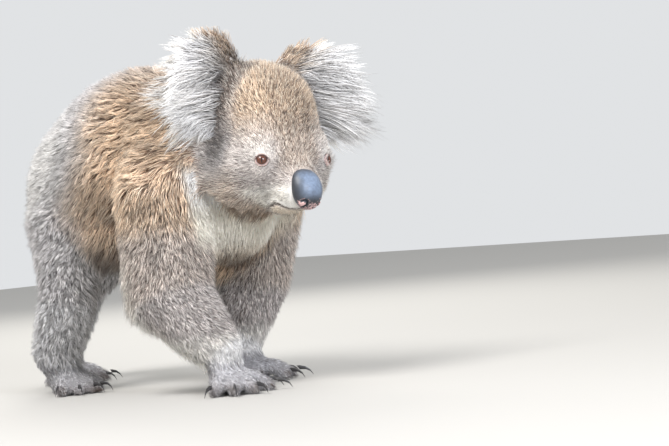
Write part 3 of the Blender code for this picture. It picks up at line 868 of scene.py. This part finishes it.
# ================================================================ tufts
PATCH = 0.003                      # how much of the map one tuft covers
OFF_SKIN = 15 * MM                 # how far over the skin roots are compared
ROOT_DEPTH = 1.2 * MM              # how far under it a tuft starts
OUT_OF_BOX = 4 * MM                # how far a tip may stand outside the solids' box
MARKS = ("warm", "cream", "umber_and_shade")
COAT_KEYS = ("points", "normals", "lie", "length", "breadth", "rise", "settle", *MARKS)


def areas(hide, chosen):
    a, b, c = (hide["points"][hide["triangles"][chosen, k]] for k in range(3))
    return 0.5 * np.linalg.norm(np.cross(b - a, c - a), axis=1)


def scatter(hide, chosen, count=None):
    """Roots spread over the chosen triangles by the coat's crowding, which also tells how many."""
    total = np.cumsum(areas(hide, chosen) * hide["crowd"][hide["triangles"][chosen]].mean(1))
    if count is None:
        count = int(total[-1])
    picks = (np.arange(count) + DICE.random(count)) / count * total[-1]
    found = chosen[np.minimum(np.searchsorted(total, picks), len(chosen) - 1)]
    u, v = DICE.random(count), DICE.random(count)
    over = u + v > 1
    u[over], v[over] = 1 - u[over], 1 - v[over]
    shares = np.stack([1 - u - v, u, v], axis=1)
    return found, shares


def values_at(hide, name, roots):
    found, shares = roots
    corners = hide[name][hide["triangles"][found]]
    if corners.ndim == 2:
        return (corners * shares).sum(1)
    return (corners * shares[:, :, None]).sum(1)


def clouds(points, size):
    """Soft patches about this size, from -1 to 1."""
    dice = np.random.default_rng(8)
    total = np.zeros(len(points))
    for _ in range(7):
        way = unit(dice.normal(0, 1, 3)) * math.tau / (2 * size) * dice.uniform(0.6, 1.5)
        total += np.sin(points @ way + dice.uniform(0, math.tau))
    return np.clip(total / 2.6, -1, 1)


def lay_tufts(root, normal, lie, length, rise, settle, station, sway):
    """Points at one station along every tuft, which leaves the skin at its rise and bends to its
    settle."""
    turn = settle - rise
    turn = np.where(np.abs(turn) < 1e-3, 1e-3, turn)
    angle = rise + turn * station
    run = (np.sin(angle) - np.sin(rise)) / turn
    climb = (np.cos(rise) - np.cos(angle)) / turn
    across = np.cross(normal, lie)
    return root + length[:, None] * (run[:, None] * lie + climb[:, None] * normal + sway[:, None] * across)


def add_speckles(at, speckle):
    """Some tufts darker and some paler than the coat round them, and pale ones evener in tone."""
    lot = DICE.random(len(at["tone"]))
    at["umber_and_shade"] = np.clip(at["umber_and_shade"] + 0.65 * (lot < speckle), 0, 1)
    at["cream"] = np.clip(at["cream"] * (1 - 0.5 * (lot < speckle)) + 0.50 * (lot > 1 - speckle), 0, 1)
    at["tone"] = 0.5 + 0.12 * at["cream"] + (at["tone"] - 0.5) * (1 - 0.65 * at["cream"])


def leaning(at, stray):
    """The skin's normal at each root, and the way its hair lies, which strays from the coat's."""
    normal = unit(at["normals"])
    lie = at["lie"] + DICE.normal(0, stray, (len(normal), 3))
    return normal, unit(lie - normal * (lie * normal).sum(1, keepdims=True))


def nearest_lock(at, normal, lock, lock_normal):
    """Every tuft belongs to the lock whose root is nearest. They are compared a little off the skin,
    so that the two faces of an ear keep to themselves."""
    tree = KDTree(len(lock_normal))
    for k, spot in enumerate(lock["points"] + lock_normal * OFF_SKIN):
        tree.insert(spot, k)
    tree.balance()
    return np.array([tree.find(spot)[1] for spot in at["points"] + normal * OFF_SKIN])


def grow(name, hide, chosen, rings, locks_per_cm2, pull, wave, turns=0.9, droop=0.0, stray=0.18,
         speckle=0.05, contrast=0.17, change=None):
    """Grows one piece of the coat: closed three-sided tufts that gather into locks.

    rings is how many joints a tuft has, pull how strongly tufts draw together into their lock, wave
    how far they sway sideways as a share of their length and turns how often, droop how far long
    hair sinks, stray how far tufts turn out of the coat's lie, speckle the share of dark and of pale
    tufts, contrast how unlike its neighbours' a lock's tone may be, and change what else is done to
    the values at the roots.
    """
    roots = scatter(hide, chosen)
    number = len(roots[0])
    at = {key: values_at(hide, key, roots) for key in COAT_KEYS}
    lock_roots = scatter(hide, chosen, max(1, int(locks_per_cm2 * areas(hide, chosen).sum() * PER_CM2)))
    lock = {key: values_at(hide, key, lock_roots) for key in COAT_KEYS}
    at["tone"] = np.clip(DICE.normal(0.5, 0.23, number), 0, 1)
    if change is not None:
        change(at)
        change(lock)
    add_speckles(at, speckle)
    normal, lie = leaning(at, stray)
    length = at["length"] * np.clip(DICE.normal(1.0, 0.17, number), 0.5, 1.5)
    rise = at["rise"] * np.clip(DICE.normal(1.0, 0.22, number), 0.3, 1.7)
    settle = at["settle"] * np.clip(DICE.normal(1.0, 0.4, number), -0.5, 2.5)
    settle += DICE.normal(0, 0.06, number)
    phase = DICE.random(number)

    # The locks are laid like tufts, and each tuft is drawn towards its own lock's tip.
    locks = len(lock_roots[0])
    lock_normal, lock_lie = leaning(lock, stray * 1.1)
    lock_tone = DICE.normal(0, contrast, locks)
    lock_phase = DICE.random(locks)
    lock_length = lock["length"] * DICE.normal(1.0, 0.12, locks)
    lock_rise = lock["rise"] * DICE.uniform(0.75, 1.3, locks)
    lock_end = lay_tufts(lock["points"], lock_normal, lock_lie, lock_length, lock_rise, lock["settle"],
                         1.0, np.zeros(locks))
    own = nearest_lock(at, normal, lock, lock_normal)
    patch_tone = 0.08 * (1 - at["cream"]) * clouds(at["points"], 25 * MM)
    at["tone"] = np.clip(at["tone"] + lock_tone[own] + patch_tone, 0, 1)
    flow = at["points"] @ np.array([[31.0, 17.0], [-23.0, 29.0], [19.0, -37.0]])
    phase = 0.40 * lock_phase[own] + 0.10 * phase + 0.5 * np.sin(flow).sum(1)

    def sway_at(station):
        swing = np.sin(math.tau * (phase + turns * station)) - np.sin(math.tau * phase)
        return wave * swing * station ** 0.7

    root = at["points"] - normal * ROOT_DEPTH
    tip = lay_tufts(root, normal, lie, length, rise, settle, 1.0, sway_at(1.0))
    lean = (lock_end[own] - tip) * pull
    lean *= np.minimum(1, 0.6 * length / np.maximum(np.linalg.norm(lean, axis=1), 1e-9))[:, None]
    stations = (np.arange(rings) + 0.62) / (rings + 0.35)
    across = np.cross(normal, lie)
    per_tuft = 3 * rings + 2
    points = np.empty((number, per_tuft, 3))
    along = np.empty((number, per_tuft))
    patch = np.empty((number, per_tuft, 2))

    def put(slot, place, station, side):
        place = place + lean * station ** 1.6
        place[:, 2] -= droop * length * station ** 2
        points[:, slot] = place
        along[:, slot] = station
        patch[:, slot] = (station - 0.5, side - 0.5)

    put(0, root, 0.0, 0.5)
    for ring, station in enumerate(stations):
        middle_line = lay_tufts(root, normal, lie, length, rise, settle, station, sway_at(station))
        slim = (1 - station) ** 0.55 * (0.62 + 0.38 * min(1.0, station / 0.3))
        half = (at["breadth"] * slim / 2)[:, None]
        put(1 + 3 * ring, middle_line - across * half, station, 0.0)
        put(2 + 3 * ring, middle_line + across * half, station, 1.0)
        put(3 + 3 * ring, middle_line + normal * half * 0.9, station, 0.5)
    put(per_tuft - 1, tip, 1.0, 0.5)
    points[:, :, 2] = np.maximum(points[:, :, 2], 0.5 * MM)
    np.clip(points, as_array(CAD_LOW) - OUT_OF_BOX, as_array(CAD_HIGH) + OUT_OF_BOX, out=points)
    found, shares = roots
    place = (hide["map"][found] * shares[:, :, None]).sum(1)
    return coat_mesh(name, rings, points, along, place[:, None] + patch * PATCH, at)


def coat_mesh(name, rings, points, along, map_points, marks):
    """Every tuft of a piece as one mesh, with its marks and its places on the skin's map."""
    number, per_tuft, _ = points.shape
    triangles = (tuft_faces(rings) + (np.arange(number) * per_tuft)[:, None, None]).reshape(-1, 3)
    data = mesh_from(name, points.reshape(-1, 3), triangles)
    put_attribute(data, "along", along.ravel())
    for mark in ("tone", *MARKS):
        put_attribute(data, mark, np.repeat(marks[mark], per_tuft))
    places = map_points.reshape(-1, 2)[triangles.ravel()]
    layer = data.uv_layers.new(name="OFBake")
    layer.data.foreach_set("uv", np.ascontiguousarray(places, np.float32).ravel())
    return object_of(name, data)


def tuft_faces(rings):
    """The triangles of one tuft: a point at the root, rings of three, and a point at the tip."""
    faces = [(0, 2, 1), (0, 3, 2), (0, 1, 3)]
    for ring in range(rings - 1):
        near, far = 1 + 3 * ring, 4 + 3 * ring
        for a, b in ((0, 1), (1, 2), (2, 0)):
            faces.append((near + a, near + b, far + b))
            faces.append((near + a, far + b, far + a))
    last = 3 * rings - 2
    tip = 3 * rings + 1
    faces += [(last, last + 1, tip), (last + 1, last + 2, tip), (last + 2, last, tip)]
    return np.array(faces)


# ================================================================ coat materials
def hair_colour(material, warm, cream, umber_and_shade):
    """The markings as colour: ash grey turned tan, dark brown or cream. The dark brown also stands for
    painted shade.
    """
    tan = add_node(material, "Mix", {0: warm, MIX_A: ASH_HAIR, MIX_B: TAN_HAIR}, MIX_RESULT,
                   data_type="RGBA")
    dark = add_node(material, "Mix", {0: umber_and_shade, MIX_A: tan, MIX_B: UMBER_HAIR_AND_SHADE}, MIX_RESULT,
                    data_type="RGBA")
    white = add_node(material, "Mix", {0: warm, MIX_A: CREAM_HAIR, MIX_B: STRAW_HAIR}, MIX_RESULT,
                     data_type="RGBA")
    return add_node(material, "Mix", {0: cream, MIX_A: dark, MIX_B: white}, MIX_RESULT, data_type="RGBA")


def read_marks(material, *names):
    return [add_node(material, "Attribute", {}, "Fac", attribute_name=name) for name in names]


def guard_hair():
    """Koala guard hair over underwool: matt and thick, dark at the root and pale at the tip, partly the
    hair's own darker base and partly painted shade deep in the coat, so that the coat looks deep and its
    locks part from each other."""
    material = blank_material("koala_guard_hair")
    along, tone, warm, cream, umber_and_shade = read_marks(material, "along", "tone", *MARKS)
    colour = hair_colour(material, warm, cream, umber_and_shade)
    # Darker towards the root: the hair's own darker base, with painted shade deep in the coat. Cream hair
    # stays pale there.
    depth = add_node(material, "MapRange", {"Value": along, "From Min": 0.05, "From Max": 0.72},
                     interpolation_type="SMOOTHSTEP")
    white_root = add_node(material, "Math", {0: cream, 1: 0.90}, operation="MULTIPLY")
    lift = add_node(material, "Math", {0: depth, 1: white_root}, operation="MAXIMUM")
    under = add_node(material, "Mix", {0: warm, MIX_A: ROOT_SHADE, MIX_B: WARM_SHADE}, MIX_RESULT,
                     data_type="RGBA")
    shade = add_node(material, "Mix", {0: lift, MIX_A: under, MIX_B: linear("#ffffff")}, MIX_RESULT,
                     data_type="RGBA")
    rooted = add_node(material, "Mix", {0: 1.0, MIX_A: colour, MIX_B: shade}, MIX_RESULT,
                      data_type="RGBA", blend_type="MULTIPLY")
    light = add_node(material, "MapRange", {"Value": tone, "To Min": 0.55, "To Max": 1.42})
    toned = add_node(material, "VectorMath", {0: rooted, "Scale": light}, operation="SCALE")
    shader = add_node(material, "BsdfPrincipled", {
        "Base Color": toned, "Roughness": 0.68, "IOR": 1.55, "Sheen Weight": 0.15, "Sheen Roughness": 0.5})
    add_node(material, "OutputMaterial", {"Surface": shader})
    return material


def underwool():
    """Koala underwool on the skin: dense, matt and crimped, a shade darker than the tips over it."""
    material = blank_material("koala_underwool")
    warm, cream, umber_and_shade = read_marks(material, *MARKS)
    colour = hair_colour(material, warm, cream, umber_and_shade)
    place = add_node(material, "TexCoord", {}, "Object")
    # Crimped wool about 1.1 mm across.
    crimp = add_node(material, "TexNoise", {
        "Vector": place, "Scale": pattern(1.11), "Detail": 3.0, "Roughness": 0.6}, "Fac")
    pale = add_node(material, "Math", {0: cream, 1: 0.35, 2: 0.42}, operation="MULTIPLY_ADD")
    shade = add_node(material, "MapRange", {"Value": crimp, "To Min": pale, "To Max": 0.92})
    toned = add_node(material, "VectorMath", {0: colour, "Scale": shade}, operation="SCALE")
    relief = add_node(material, "Bump", {"Height": crimp, "Strength": 0.6, "Distance": 0.8 * MM})
    shader = add_node(material, "BsdfPrincipled", {
        "Base Color": toned, "Normal": relief, "Roughness": 0.85, "IOR": 1.5})
    add_node(material, "OutputMaterial", {"Surface": shader})
    return material


def lid_skin():
    """Bare eyelid skin: thin, pink and a little moist, finely creased."""
    material = blank_material("eyelid_skin")
    lash, = read_marks(material, "lash")
    place = add_node(material, "TexCoord", {}, "Object")
    # Creases about 0.6 mm apart.
    crease = add_node(material, "TexNoise", {"Vector": place, "Scale": pattern(0.556), "Detail": 2.0}, "Fac")
    pink = add_node(material, "Mix", {0: crease, MIX_A: linear("#c7a9a3"), MIX_B: LID_SKIN}, MIX_RESULT,
                    data_type="RGBA")
    colour = add_node(material, "Mix", {0: lash, MIX_A: pink, MIX_B: LASH_SKIN}, MIX_RESULT,
                      data_type="RGBA")
    relief = add_node(material, "Bump", {"Height": crease, "Strength": 0.3, "Distance": 0.3 * MM})
    shader = add_node(material, "BsdfPrincipled", {
        "Base Color": colour, "Normal": relief, "Roughness": 0.42, "IOR": 1.4, "Subsurface Weight": 0.1,
        "Subsurface Scale": 2 * MM})
    add_node(material, "OutputMaterial", {"Surface": shader})
    return material


def rhinarium_leather():
    """The nose's hairless leather: black and finely pebbled with a soft bluish sheen, whose pale blue-grey
    highlight over the front of the pad is painted, and freckled with pink along its lower edge and round the
    nostrils."""
    material = blank_material("rhinarium_leather")
    pink, painted_sheen = read_marks(material, "pink", "painted_sheen")
    place = add_node(material, "TexCoord", {}, "Object")
    # Pebbles about 0.7 mm across, and freckles about 1.5 mm.
    pebble = add_node(material, "TexVoronoi", {"Vector": place, "Scale": pattern(0.714)}, "Distance")
    freckle = add_node(material, "TexNoise", {"Vector": place, "Scale": pattern(1.54), "Detail": 2.0}, "Fac")
    spotted = add_node(material, "Math", {0: freckle, 1: pink}, operation="ADD")
    edge = add_node(material, "MapRange", {"Value": spotted, "From Min": 0.92, "From Max": 1.06})
    # The painted blue-grey highlight is mottled about 3 mm across.
    mottle = add_node(material, "TexNoise", {"Vector": place, "Scale": pattern(3.03), "Detail": 3.0}, "Fac")
    thick = add_node(material, "MapRange", {
        "Value": mottle, "From Min": 0.3, "From Max": 0.7, "To Min": 0.62, "To Max": 1.0})
    mottled = add_node(material, "Math", {0: painted_sheen, 1: thick}, operation="MULTIPLY")
    # Black leather with the painted blue-grey highlight mixed in.
    leather_and_sheen = add_node(material, "Mix", {0: mottled, MIX_A: linear("#2b2e33"), MIX_B: linear("#7c8da6")},
                   MIX_RESULT, data_type="RGBA")
    colour = add_node(material, "Mix", {0: edge, MIX_A: leather_and_sheen, MIX_B: linear("#cfaaa8")}, MIX_RESULT,
                      data_type="RGBA")
    relief = add_node(material, "Bump", {"Height": pebble, "Strength": 0.35, "Distance": 0.3 * MM})
    shader = add_node(material, "BsdfPrincipled", {
        "Base Color": colour, "Normal": relief, "Roughness": 0.46, "IOR": 1.5, "Sheen Weight": 0.3,
        "Sheen Roughness": 0.3, "Sheen Tint": linear("#c3d2ea"), "Coat Weight": 0.15,
        "Coat Roughness": 0.3})
    add_node(material, "OutputMaterial", {"Surface": shader})
    return material


def eye_surface():
    """A living eye: a brown iris with a tall slit pupil under a wet, glossy cornea."""
    material = blank_material("wet_eye")
    sideways, upwards = read_marks(material, "sideways", "upwards")
    # Coordinates in shares of the eye's radius, and the iris's fibres about 0.9 mm apart.
    place = add_node(material, "CombineXYZ", {0: sideways, 1: upwards})
    fibres = add_node(material, "TexNoise", {
        "Vector": place, "Scale": EYE_RADIUS * pattern(0.861), "Detail": 4.0}, "Fac")
    iris = add_node(material, "Mix", {0: fibres, MIX_A: linear("#2e1710"), MIX_B: linear("#6b3d2b")},
                    MIX_RESULT, data_type="RGBA")
    radius = add_node(material, "VectorMath", {0: place}, "Value", operation="LENGTH")
    rim = add_node(material, "MapRange", {"Value": radius, "From Min": 0.60, "From Max": 0.74})
    ringed = add_node(material, "Mix", {0: rim, MIX_A: iris, MIX_B: linear("#120a08")}, MIX_RESULT,
                      data_type="RGBA")
    # The slit narrows to nothing at its ends.
    height = add_node(material, "Math", {0: upwards}, operation="ABSOLUTE")
    share = add_node(material, "Math", {0: height, 1: 0.46}, operation="DIVIDE")
    squared = add_node(material, "Math", {0: share, 1: 2.0}, operation="POWER")
    taper = add_node(material, "Math", {0: 1.0, 1: squared}, operation="SUBTRACT")
    half = add_node(material, "Math", {0: taper, 1: 0.085}, operation="MULTIPLY")
    aside = add_node(material, "Math", {0: sideways}, operation="ABSOLUTE")
    inside = add_node(material, "Math", {0: half, 1: aside}, operation="SUBTRACT")
    slit = add_node(material, "MapRange", {"Value": inside, "From Min": -0.01, "From Max": 0.02})
    colour = add_node(material, "Mix", {0: slit, MIX_A: ringed, MIX_B: linear("#070505")}, MIX_RESULT,
                      data_type="RGBA")
    shader = add_node(material, "BsdfPrincipled", {
        "Base Color": colour, "Roughness": 0.25, "IOR": 1.38, "Coat Weight": 1.0,
        "Coat Roughness": 0.02, "Coat IOR": 1.38})
    add_node(material, "OutputMaterial", {"Surface": shader})
    return material


def claw_horn():
    """Claw keratin: dark brown horn, worn semi-gloss and streaked along its length."""
    material = blank_material("claw_keratin")
    place = add_node(material, "TexCoord", {}, "Object")
    # Growth streaks about 1.4 mm apart.
    streak = add_node(material, "TexNoise", {"Vector": place, "Scale": pattern(1.43), "Detail": 3.0}, "Fac")
    colour = add_node(material, "Mix", {0: streak, MIX_A: linear("#0e0e10"), MIX_B: linear("#3c3a3b")},
                      MIX_RESULT, data_type="RGBA")
    relief = add_node(material, "Bump", {"Height": streak, "Strength": 0.25, "Distance": 0.2 * MM})
    shader = add_node(material, "BsdfPrincipled", {
        "Base Color": colour, "Normal": relief, "Roughness": 0.34, "IOR": 1.54})
    add_node(material, "OutputMaterial", {"Surface": shader})
    return material


# ================================================================ eyes, nose and claws
def make_eye(side, material):
    """An eyeball with the cornea's swell. Its material draws the iris from two coordinates on it."""
    facing = eye_facing(side)
    upright = unit(UP_ARRAY - facing * (UP_ARRAY @ facing))
    across = np.cross(upright, facing)
    data = made_mesh("eyeball_" + side, bmesh.ops.create_uvsphere, u_segments=48, v_segments=32, radius=1.0)
    points, _, _ = mesh_arrays(data)
    from_pole = np.degrees(np.arccos(np.clip(points[:, 2], -1, 1)))
    put_attribute(data, "sideways", points[:, 0])
    put_attribute(data, "upwards", points[:, 1])
    radius = EYE_RADIUS + 0.45 * MM * ramp(from_pole, 52, 20)
    points = (points * radius[:, None]) @ np.array([across, upright, facing]) + as_array(EYES[side])
    move_points(data, points)
    data.shade_smooth()
    data.materials.append(material)
    eye = object_of("eyeball_" + side, data)
    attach(eye, "root")
    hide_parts("eye_" + side)


NOSTRIL_SIDE = 10.8 * MM           # the lobes' middles, from the pad's
NOSTRIL_UP = -15.5 * MM
NOSTRIL_CURL = 3.3 * MM            # the slits' radius round them


def from_nostril(side, up, sign):
    """Distance from a nostril's slit, which curls round the inner side and top of its fleshy lobe."""
    inwards, above = NOSTRIL_SIDE - side * sign, up - NOSTRIL_UP
    turn = np.clip(np.arctan2(above, inwards), math.radians(-60), math.radians(115))
    return np.hypot(inwards - NOSTRIL_CURL * np.cos(turn), above - NOSTRIL_CURL * np.sin(turn))


def make_nose(material):
    """The nose leather: a tall rounded pad, with a comma of a nostril low on each side."""
    data = made_mesh("nose_pad", bmesh.ops.create_uvsphere, u_segments=150, v_segments=110, radius=1.0)
    ball, _, _ = mesh_arrays(data)
    # A squared oval from the front, narrower below.
    outline = np.hypot(ball[:, 0], ball[:, 2])
    squared = (np.abs(ball[:, 0]) ** 2.35 + np.abs(ball[:, 2]) ** 2.35) ** (1 / 2.35)
    fuller = np.where(outline > 1e-6, outline / np.maximum(squared, 1e-9), 1.0) ** 0.9
    side, ahead, up = (ball * np.stack([fuller, np.ones(len(ball)), fuller], axis=1) * NOSE_RADII).T
    side = side * (1 - 0.17 * ramp(up, 2 * MM, -22 * MM)) * 0.97
    lean_back = -6 * MM * ramp(up, -4 * MM, 30 * MM)
    front = ramp(ahead, -3 * MM, 3 * MM)
    # A pale blue-grey highlight painted over the front of the pad.
    painted_sheen = np.exp(-(side / (14 * MM)) ** 4 - ((up - 5 * MM) / (14 * MM)) ** 4) * ramp(ahead, -2 * MM, 7 * MM)
    pink = ramp(up, -9 * MM, -18 * MM) * 0.50
    push = np.zeros(len(side))
    for sign in SIDES.values():
        gap = from_nostril(side, up, sign)
        here = front * ramp(side * sign, 0.0, 1.5 * MM)
        lobe = np.hypot(side - sign * NOSTRIL_SIDE, up - NOSTRIL_UP)
        push += here * 1.6 * MM * np.exp(-(lobe / (5.5 * MM)) ** 2)
        push -= here * 3.2 * MM * np.exp(-(gap / (1.0 * MM)) ** 2)
        pink = np.maximum(pink, here * 0.68 * np.exp(-(lobe / (6.4 * MM)) ** 4))
        pink = pink * (1 - here * np.exp(-(gap / (1.2 * MM)) ** 2))
    # A shallow groove runs up between the nostrils.
    push -= front * 0.8 * MM * np.exp(-(side / (1.2 * MM)) ** 2) * ramp(up, -6 * MM, -14 * MM)
    local = np.stack([side, ahead, up], axis=1)
    local += unit(local / NOSE_RADII ** 2) * push[:, None]
    local[:, 1] += lean_back
    put_attribute(data, "pink", np.clip(pink, 0, 1))
    put_attribute(data, "painted_sheen", np.clip(painted_sheen, 0, 1))
    move_points(data, local @ HEAD_AXES + as_array(NOSE_CENTRE))
    data.shade_smooth()
    data.materials.append(material)
    nose = object_of("nose_pad", data)
    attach(nose, "root")
    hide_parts("nose_leather")


def dress_claws(material):
    for name, node in NODES.items():
        if name.startswith("claw_"):
            node.material_slots[0].material = material


# ================================================================ the coat, piece by piece
def pieces_of(hide):
    """The triangles of each piece of the coat, by what they lie on."""
    triangles, points = hide["triangles"], hide["points"]
    kind = hide["kind"][triangles[:, 0]]
    centre = points[triangles].mean(1)
    normal = hide["normals"][triangles[:, 0]]
    left = centre[:, 0] > 0
    bib = hide["bib"][triangles].mean(1) > 0.4
    trunk = among(kind, "trunk") & ~bib
    above = normal[:, 2] > -0.1
    fore = behind_mantle(centre) < 0.03
    foreleg = among(kind, "upper_arm", "forearm") & ~bib
    hind_leg = among(kind, "thigh", "shank")
    head = among(kind, "head", "lower_jaw")
    face = in_head(centre)[:, 1] > 12 * MM
    return {
        "coat_face": head & face,
        "coat_crown": head & ~face,
        "coat_ear_left": among(kind, "ear") & left,
        "coat_ear_right": among(kind, "ear") & ~left,
        "coat_bib": bib & among(kind, "trunk", "neck", "upper_arm"),
        "coat_neck": among(kind, "neck") & ~bib,
        "coat_shoulder_left": trunk & fore & above & left,
        "coat_shoulder_right": trunk & fore & above & ~left,
        "coat_rump": trunk & ~fore & above,
        "coat_belly": trunk & ~above,
        "coat_foreleg_left": foreleg & left,
        "coat_foreleg_right": foreleg & ~left,
        "coat_hind_leg_left": hind_leg & left,
        "coat_hind_leg_right": hind_leg & ~left,
        "coat_paws": among(kind, "hand", "foot"),
    }


def ear_change(side):
    """An ear's hair: short and brown behind, and within and round the rim a white fringe that fans
    out from the inner corner to the outline of the solid."""
    _, outwards, opening, upwards = (as_array(axis) for axis in pinna_frame(side))
    # Spots all over the solid show how far its outline goes, seen the way the ear opens.
    points, triangles = solid_points("ear_" + side)
    shares = DICE.dirichlet((0.6, 0.6, 0.6), (len(triangles), 5))
    points = np.einsum("tij,tjk->tik", shares, points[triangles]).reshape(-1, 3)
    spots = np.stack([points @ outwards, points @ upwards], axis=1)
    head = finder_of(*solid_points("head"))

    def clear_of_head(place):
        """How far a place stands out of the head: less than nothing inside it."""
        near, normal, _, distance = head.find_nearest(Vector(place))
        return math.copysign(distance, (Vector(place) - near).dot(normal))

    def reach(root, way):
        """How far hair can run along its way before it leaves the solid's outline."""
        flat = unit(np.stack([way @ outwards, way @ upwards], axis=1))
        start = np.stack([root @ outwards, root @ upwards], axis=1)
        far = np.zeros(len(root))
        for spot in spots:
            apart = spot - start
            forwards = (apart * flat).sum(1)
            aside = np.abs(apart[:, 0] * flat[:, 1] - apart[:, 1] * flat[:, 0])
            far = np.where(aside < 5 * MM, np.maximum(far, forwards), far)
        return far

    def change(at):
        out, _, high = in_ear(at["points"], side).T
        front = ramp((at["normals"] * opening).sum(1), -0.30, 0.20)
        rim = ramp(np.hypot(out, high), 0.72, 0.95)
        clear = np.array([clear_of_head(place) for place in at["points"]])
        # Hair is long in front and round the rim, clear of the head, but short and tan on top.
        upper = ramp(high, -0.6, 0.3)
        outer = ramp(clear, (16 * upper - 14) * MM, (21 * upper - 9) * MM)
        top = ramp(0.85 * high - 0.50 * out, 0.40, 0.64)
        edge = ramp(np.hypot(out, high), 0.82, 0.94) * ramp(high, 0.66, 0.80)
        top = np.maximum(top, edge)
        long = np.maximum(front, rim) * outer * (1 - 0.95 * top)
        slant = -0.20 + 0.75 * np.clip(high, 0, 1) ** 1.5 - EAR_DROOP[side] * np.clip(-high, 0, 1)
        level = outwards - UP_ARRAY * (outwards @ UP_ARRAY)
        way = unit(level + (slant + 0.7 * top * (1 - long))[:, None] * UP_ARRAY)
        # Long hair runs straight on outwards, across the leaf; short hair follows its surface.
        normal = unit(at["normals"])
        ahead = (normal * way).sum(1)
        ahead = (np.maximum(ahead, 0) + np.minimum(ahead, 0) * long)[:, None]
        side_of_leaf = np.where(front > 0.4, 0.25, -0.25)[:, None] * opening
        at["normals"] = unit(normal - ahead * way + side_of_leaf)
        at["lie"] = unit(way - (way * at["normals"]).sum(1, keepdims=True) * at["normals"])
        room = reach(at["points"], at["lie"]) * (0.93 + 0.14 * ramp(high, 0.1, 0.6))
        room = np.clip(room + 8 * MM * ramp(high, 0.2, -0.5), 26 * MM, 95 * MM)
        room *= DICE.uniform(0.35, 1.06, len(room)) ** 0.6
        short = (11 + 2 * top + 9 * edge * ramp(out, 0.1, 0.5)) * MM
        at["length"] = short * (1 - long) + room * long
        at["breadth"] = (0.90 + 0.18 * long) * MM
        at["rise"] = np.radians(24 + 14 * top)
        at["settle"] = np.radians(4 + 10 * (1 - long))
        at["cream"] = np.clip(long * 1.2 - 0.1, 0, 0.66 - 0.16 * ramp(high, 0.35, 0.80))
        at["warm"] = np.clip(0.60 * (1 - front) + 0.9 * top, 0, 1) * (1 - 0.8 * long)
        # The ear's own dark root, with painted shade in the hollow by the head, reaching further on the right
        # ear.
        dark = ramp(clear, EAR_SHADE[side], 0.45 * EAR_SHADE[side]) * ramp(high, -0.5, 0.1)
        dark *= front * (1 - 0.4 * top)
        at["umber_and_shade"] = np.clip(0.85 * dark + 0.35 * (1 - front) * (1 - top) + 0.24 * top, 0, 1)
    return change


def grow_coat(hide):
    """Every piece of the coat. Shaggy over the shoulders and back, woolly behind, short on face and paws."""
    hair = guard_hair()
    masks = {name: np.nonzero(mask)[0] for name, mask in pieces_of(hide).items()}
    mantle = dict(rings=4, locks_per_cm2=3.4, pull=0.82, wave=0.095, turns=1.5, droop=0.02)
    plush = dict(rings=1, locks_per_cm2=5.0, pull=0.45, wave=0.05, stray=0.28, speckle=0.15, contrast=0.27)
    wool = dict(rings=1, locks_per_cm2=4.0, pull=0.58, wave=0.14, stray=0.30, speckle=0.08, contrast=0.32)
    ear = dict(rings=3, locks_per_cm2=2.6, pull=0.55, wave=0.06, turns=0.7, droop=0.05, stray=0.17,
               speckle=0.10, contrast=0.20)
    styles = {
        "coat_face": dict(rings=1, locks_per_cm2=16, pull=0.25, wave=0.03, stray=0.36, speckle=0.20),
        "coat_crown": dict(rings=1, locks_per_cm2=10, pull=0.35, wave=0.04, stray=0.36, speckle=0.18),
        "coat_ear_left": dict(ear, change=ear_change("left")),
        "coat_ear_right": dict(ear, change=ear_change("right")),
        "coat_bib": dict(rings=2, locks_per_cm2=6.0, pull=0.22, wave=0.02, stray=0.14, speckle=0.0,
                         contrast=0.07),
        "coat_neck": dict(rings=2, locks_per_cm2=2.5, pull=0.45, wave=0.05, droop=0.05),
        "coat_shoulder_left": mantle,
        "coat_shoulder_right": mantle,
        "coat_rump": dict(rings=1, locks_per_cm2=4.5, pull=0.52, wave=0.12, stray=0.26, contrast=0.24),
        "coat_belly": dict(rings=1, locks_per_cm2=2.5, pull=0.50, wave=0.08, droop=0.05),
        "coat_foreleg_left": plush,
        "coat_foreleg_right": plush,
        "coat_hind_leg_left": wool,
        "coat_hind_leg_right": wool,
        "coat_paws": dict(rings=1, locks_per_cm2=7, pull=0.40, wave=0.03, stray=0.18, speckle=0.14,
                          contrast=0.30),
    }
    for name, style in styles.items():
        piece = grow(name, hide, masks[name], **style)
        piece.data.materials.append(hair)
        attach(piece, "root")


# ================================================================ all together
place_camera()
add_floor()
add_light()
skin_data, solid_finder, solid_kinds = make_skin()
skin_data.materials.clear()
skin_data.materials.append(underwool())
skin_data.materials.append(lid_skin())
for mark in ("lash", "bare"):
    put_attribute(skin_data, mark, np.zeros(len(skin_data.vertices)))
for side in SIDES:
    add_lids(skin_data, *lid_ring(side), 1)
koala_skin = object_of("koala_skin", skin_data)
unwrap(koala_skin)
hide = survey(koala_skin, solid_finder, solid_kinds)
for mark in MARKS:
    put_attribute(skin_data, mark, hide[mark])
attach(koala_skin, "root")
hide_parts(*FLESH, *EARS)
grow_coat(hide)
wet_eye = eye_surface()
for side in SIDES:
    make_eye(side, wet_eye)
make_nose(rhinarium_leather())
dress_claws(claw_horn())
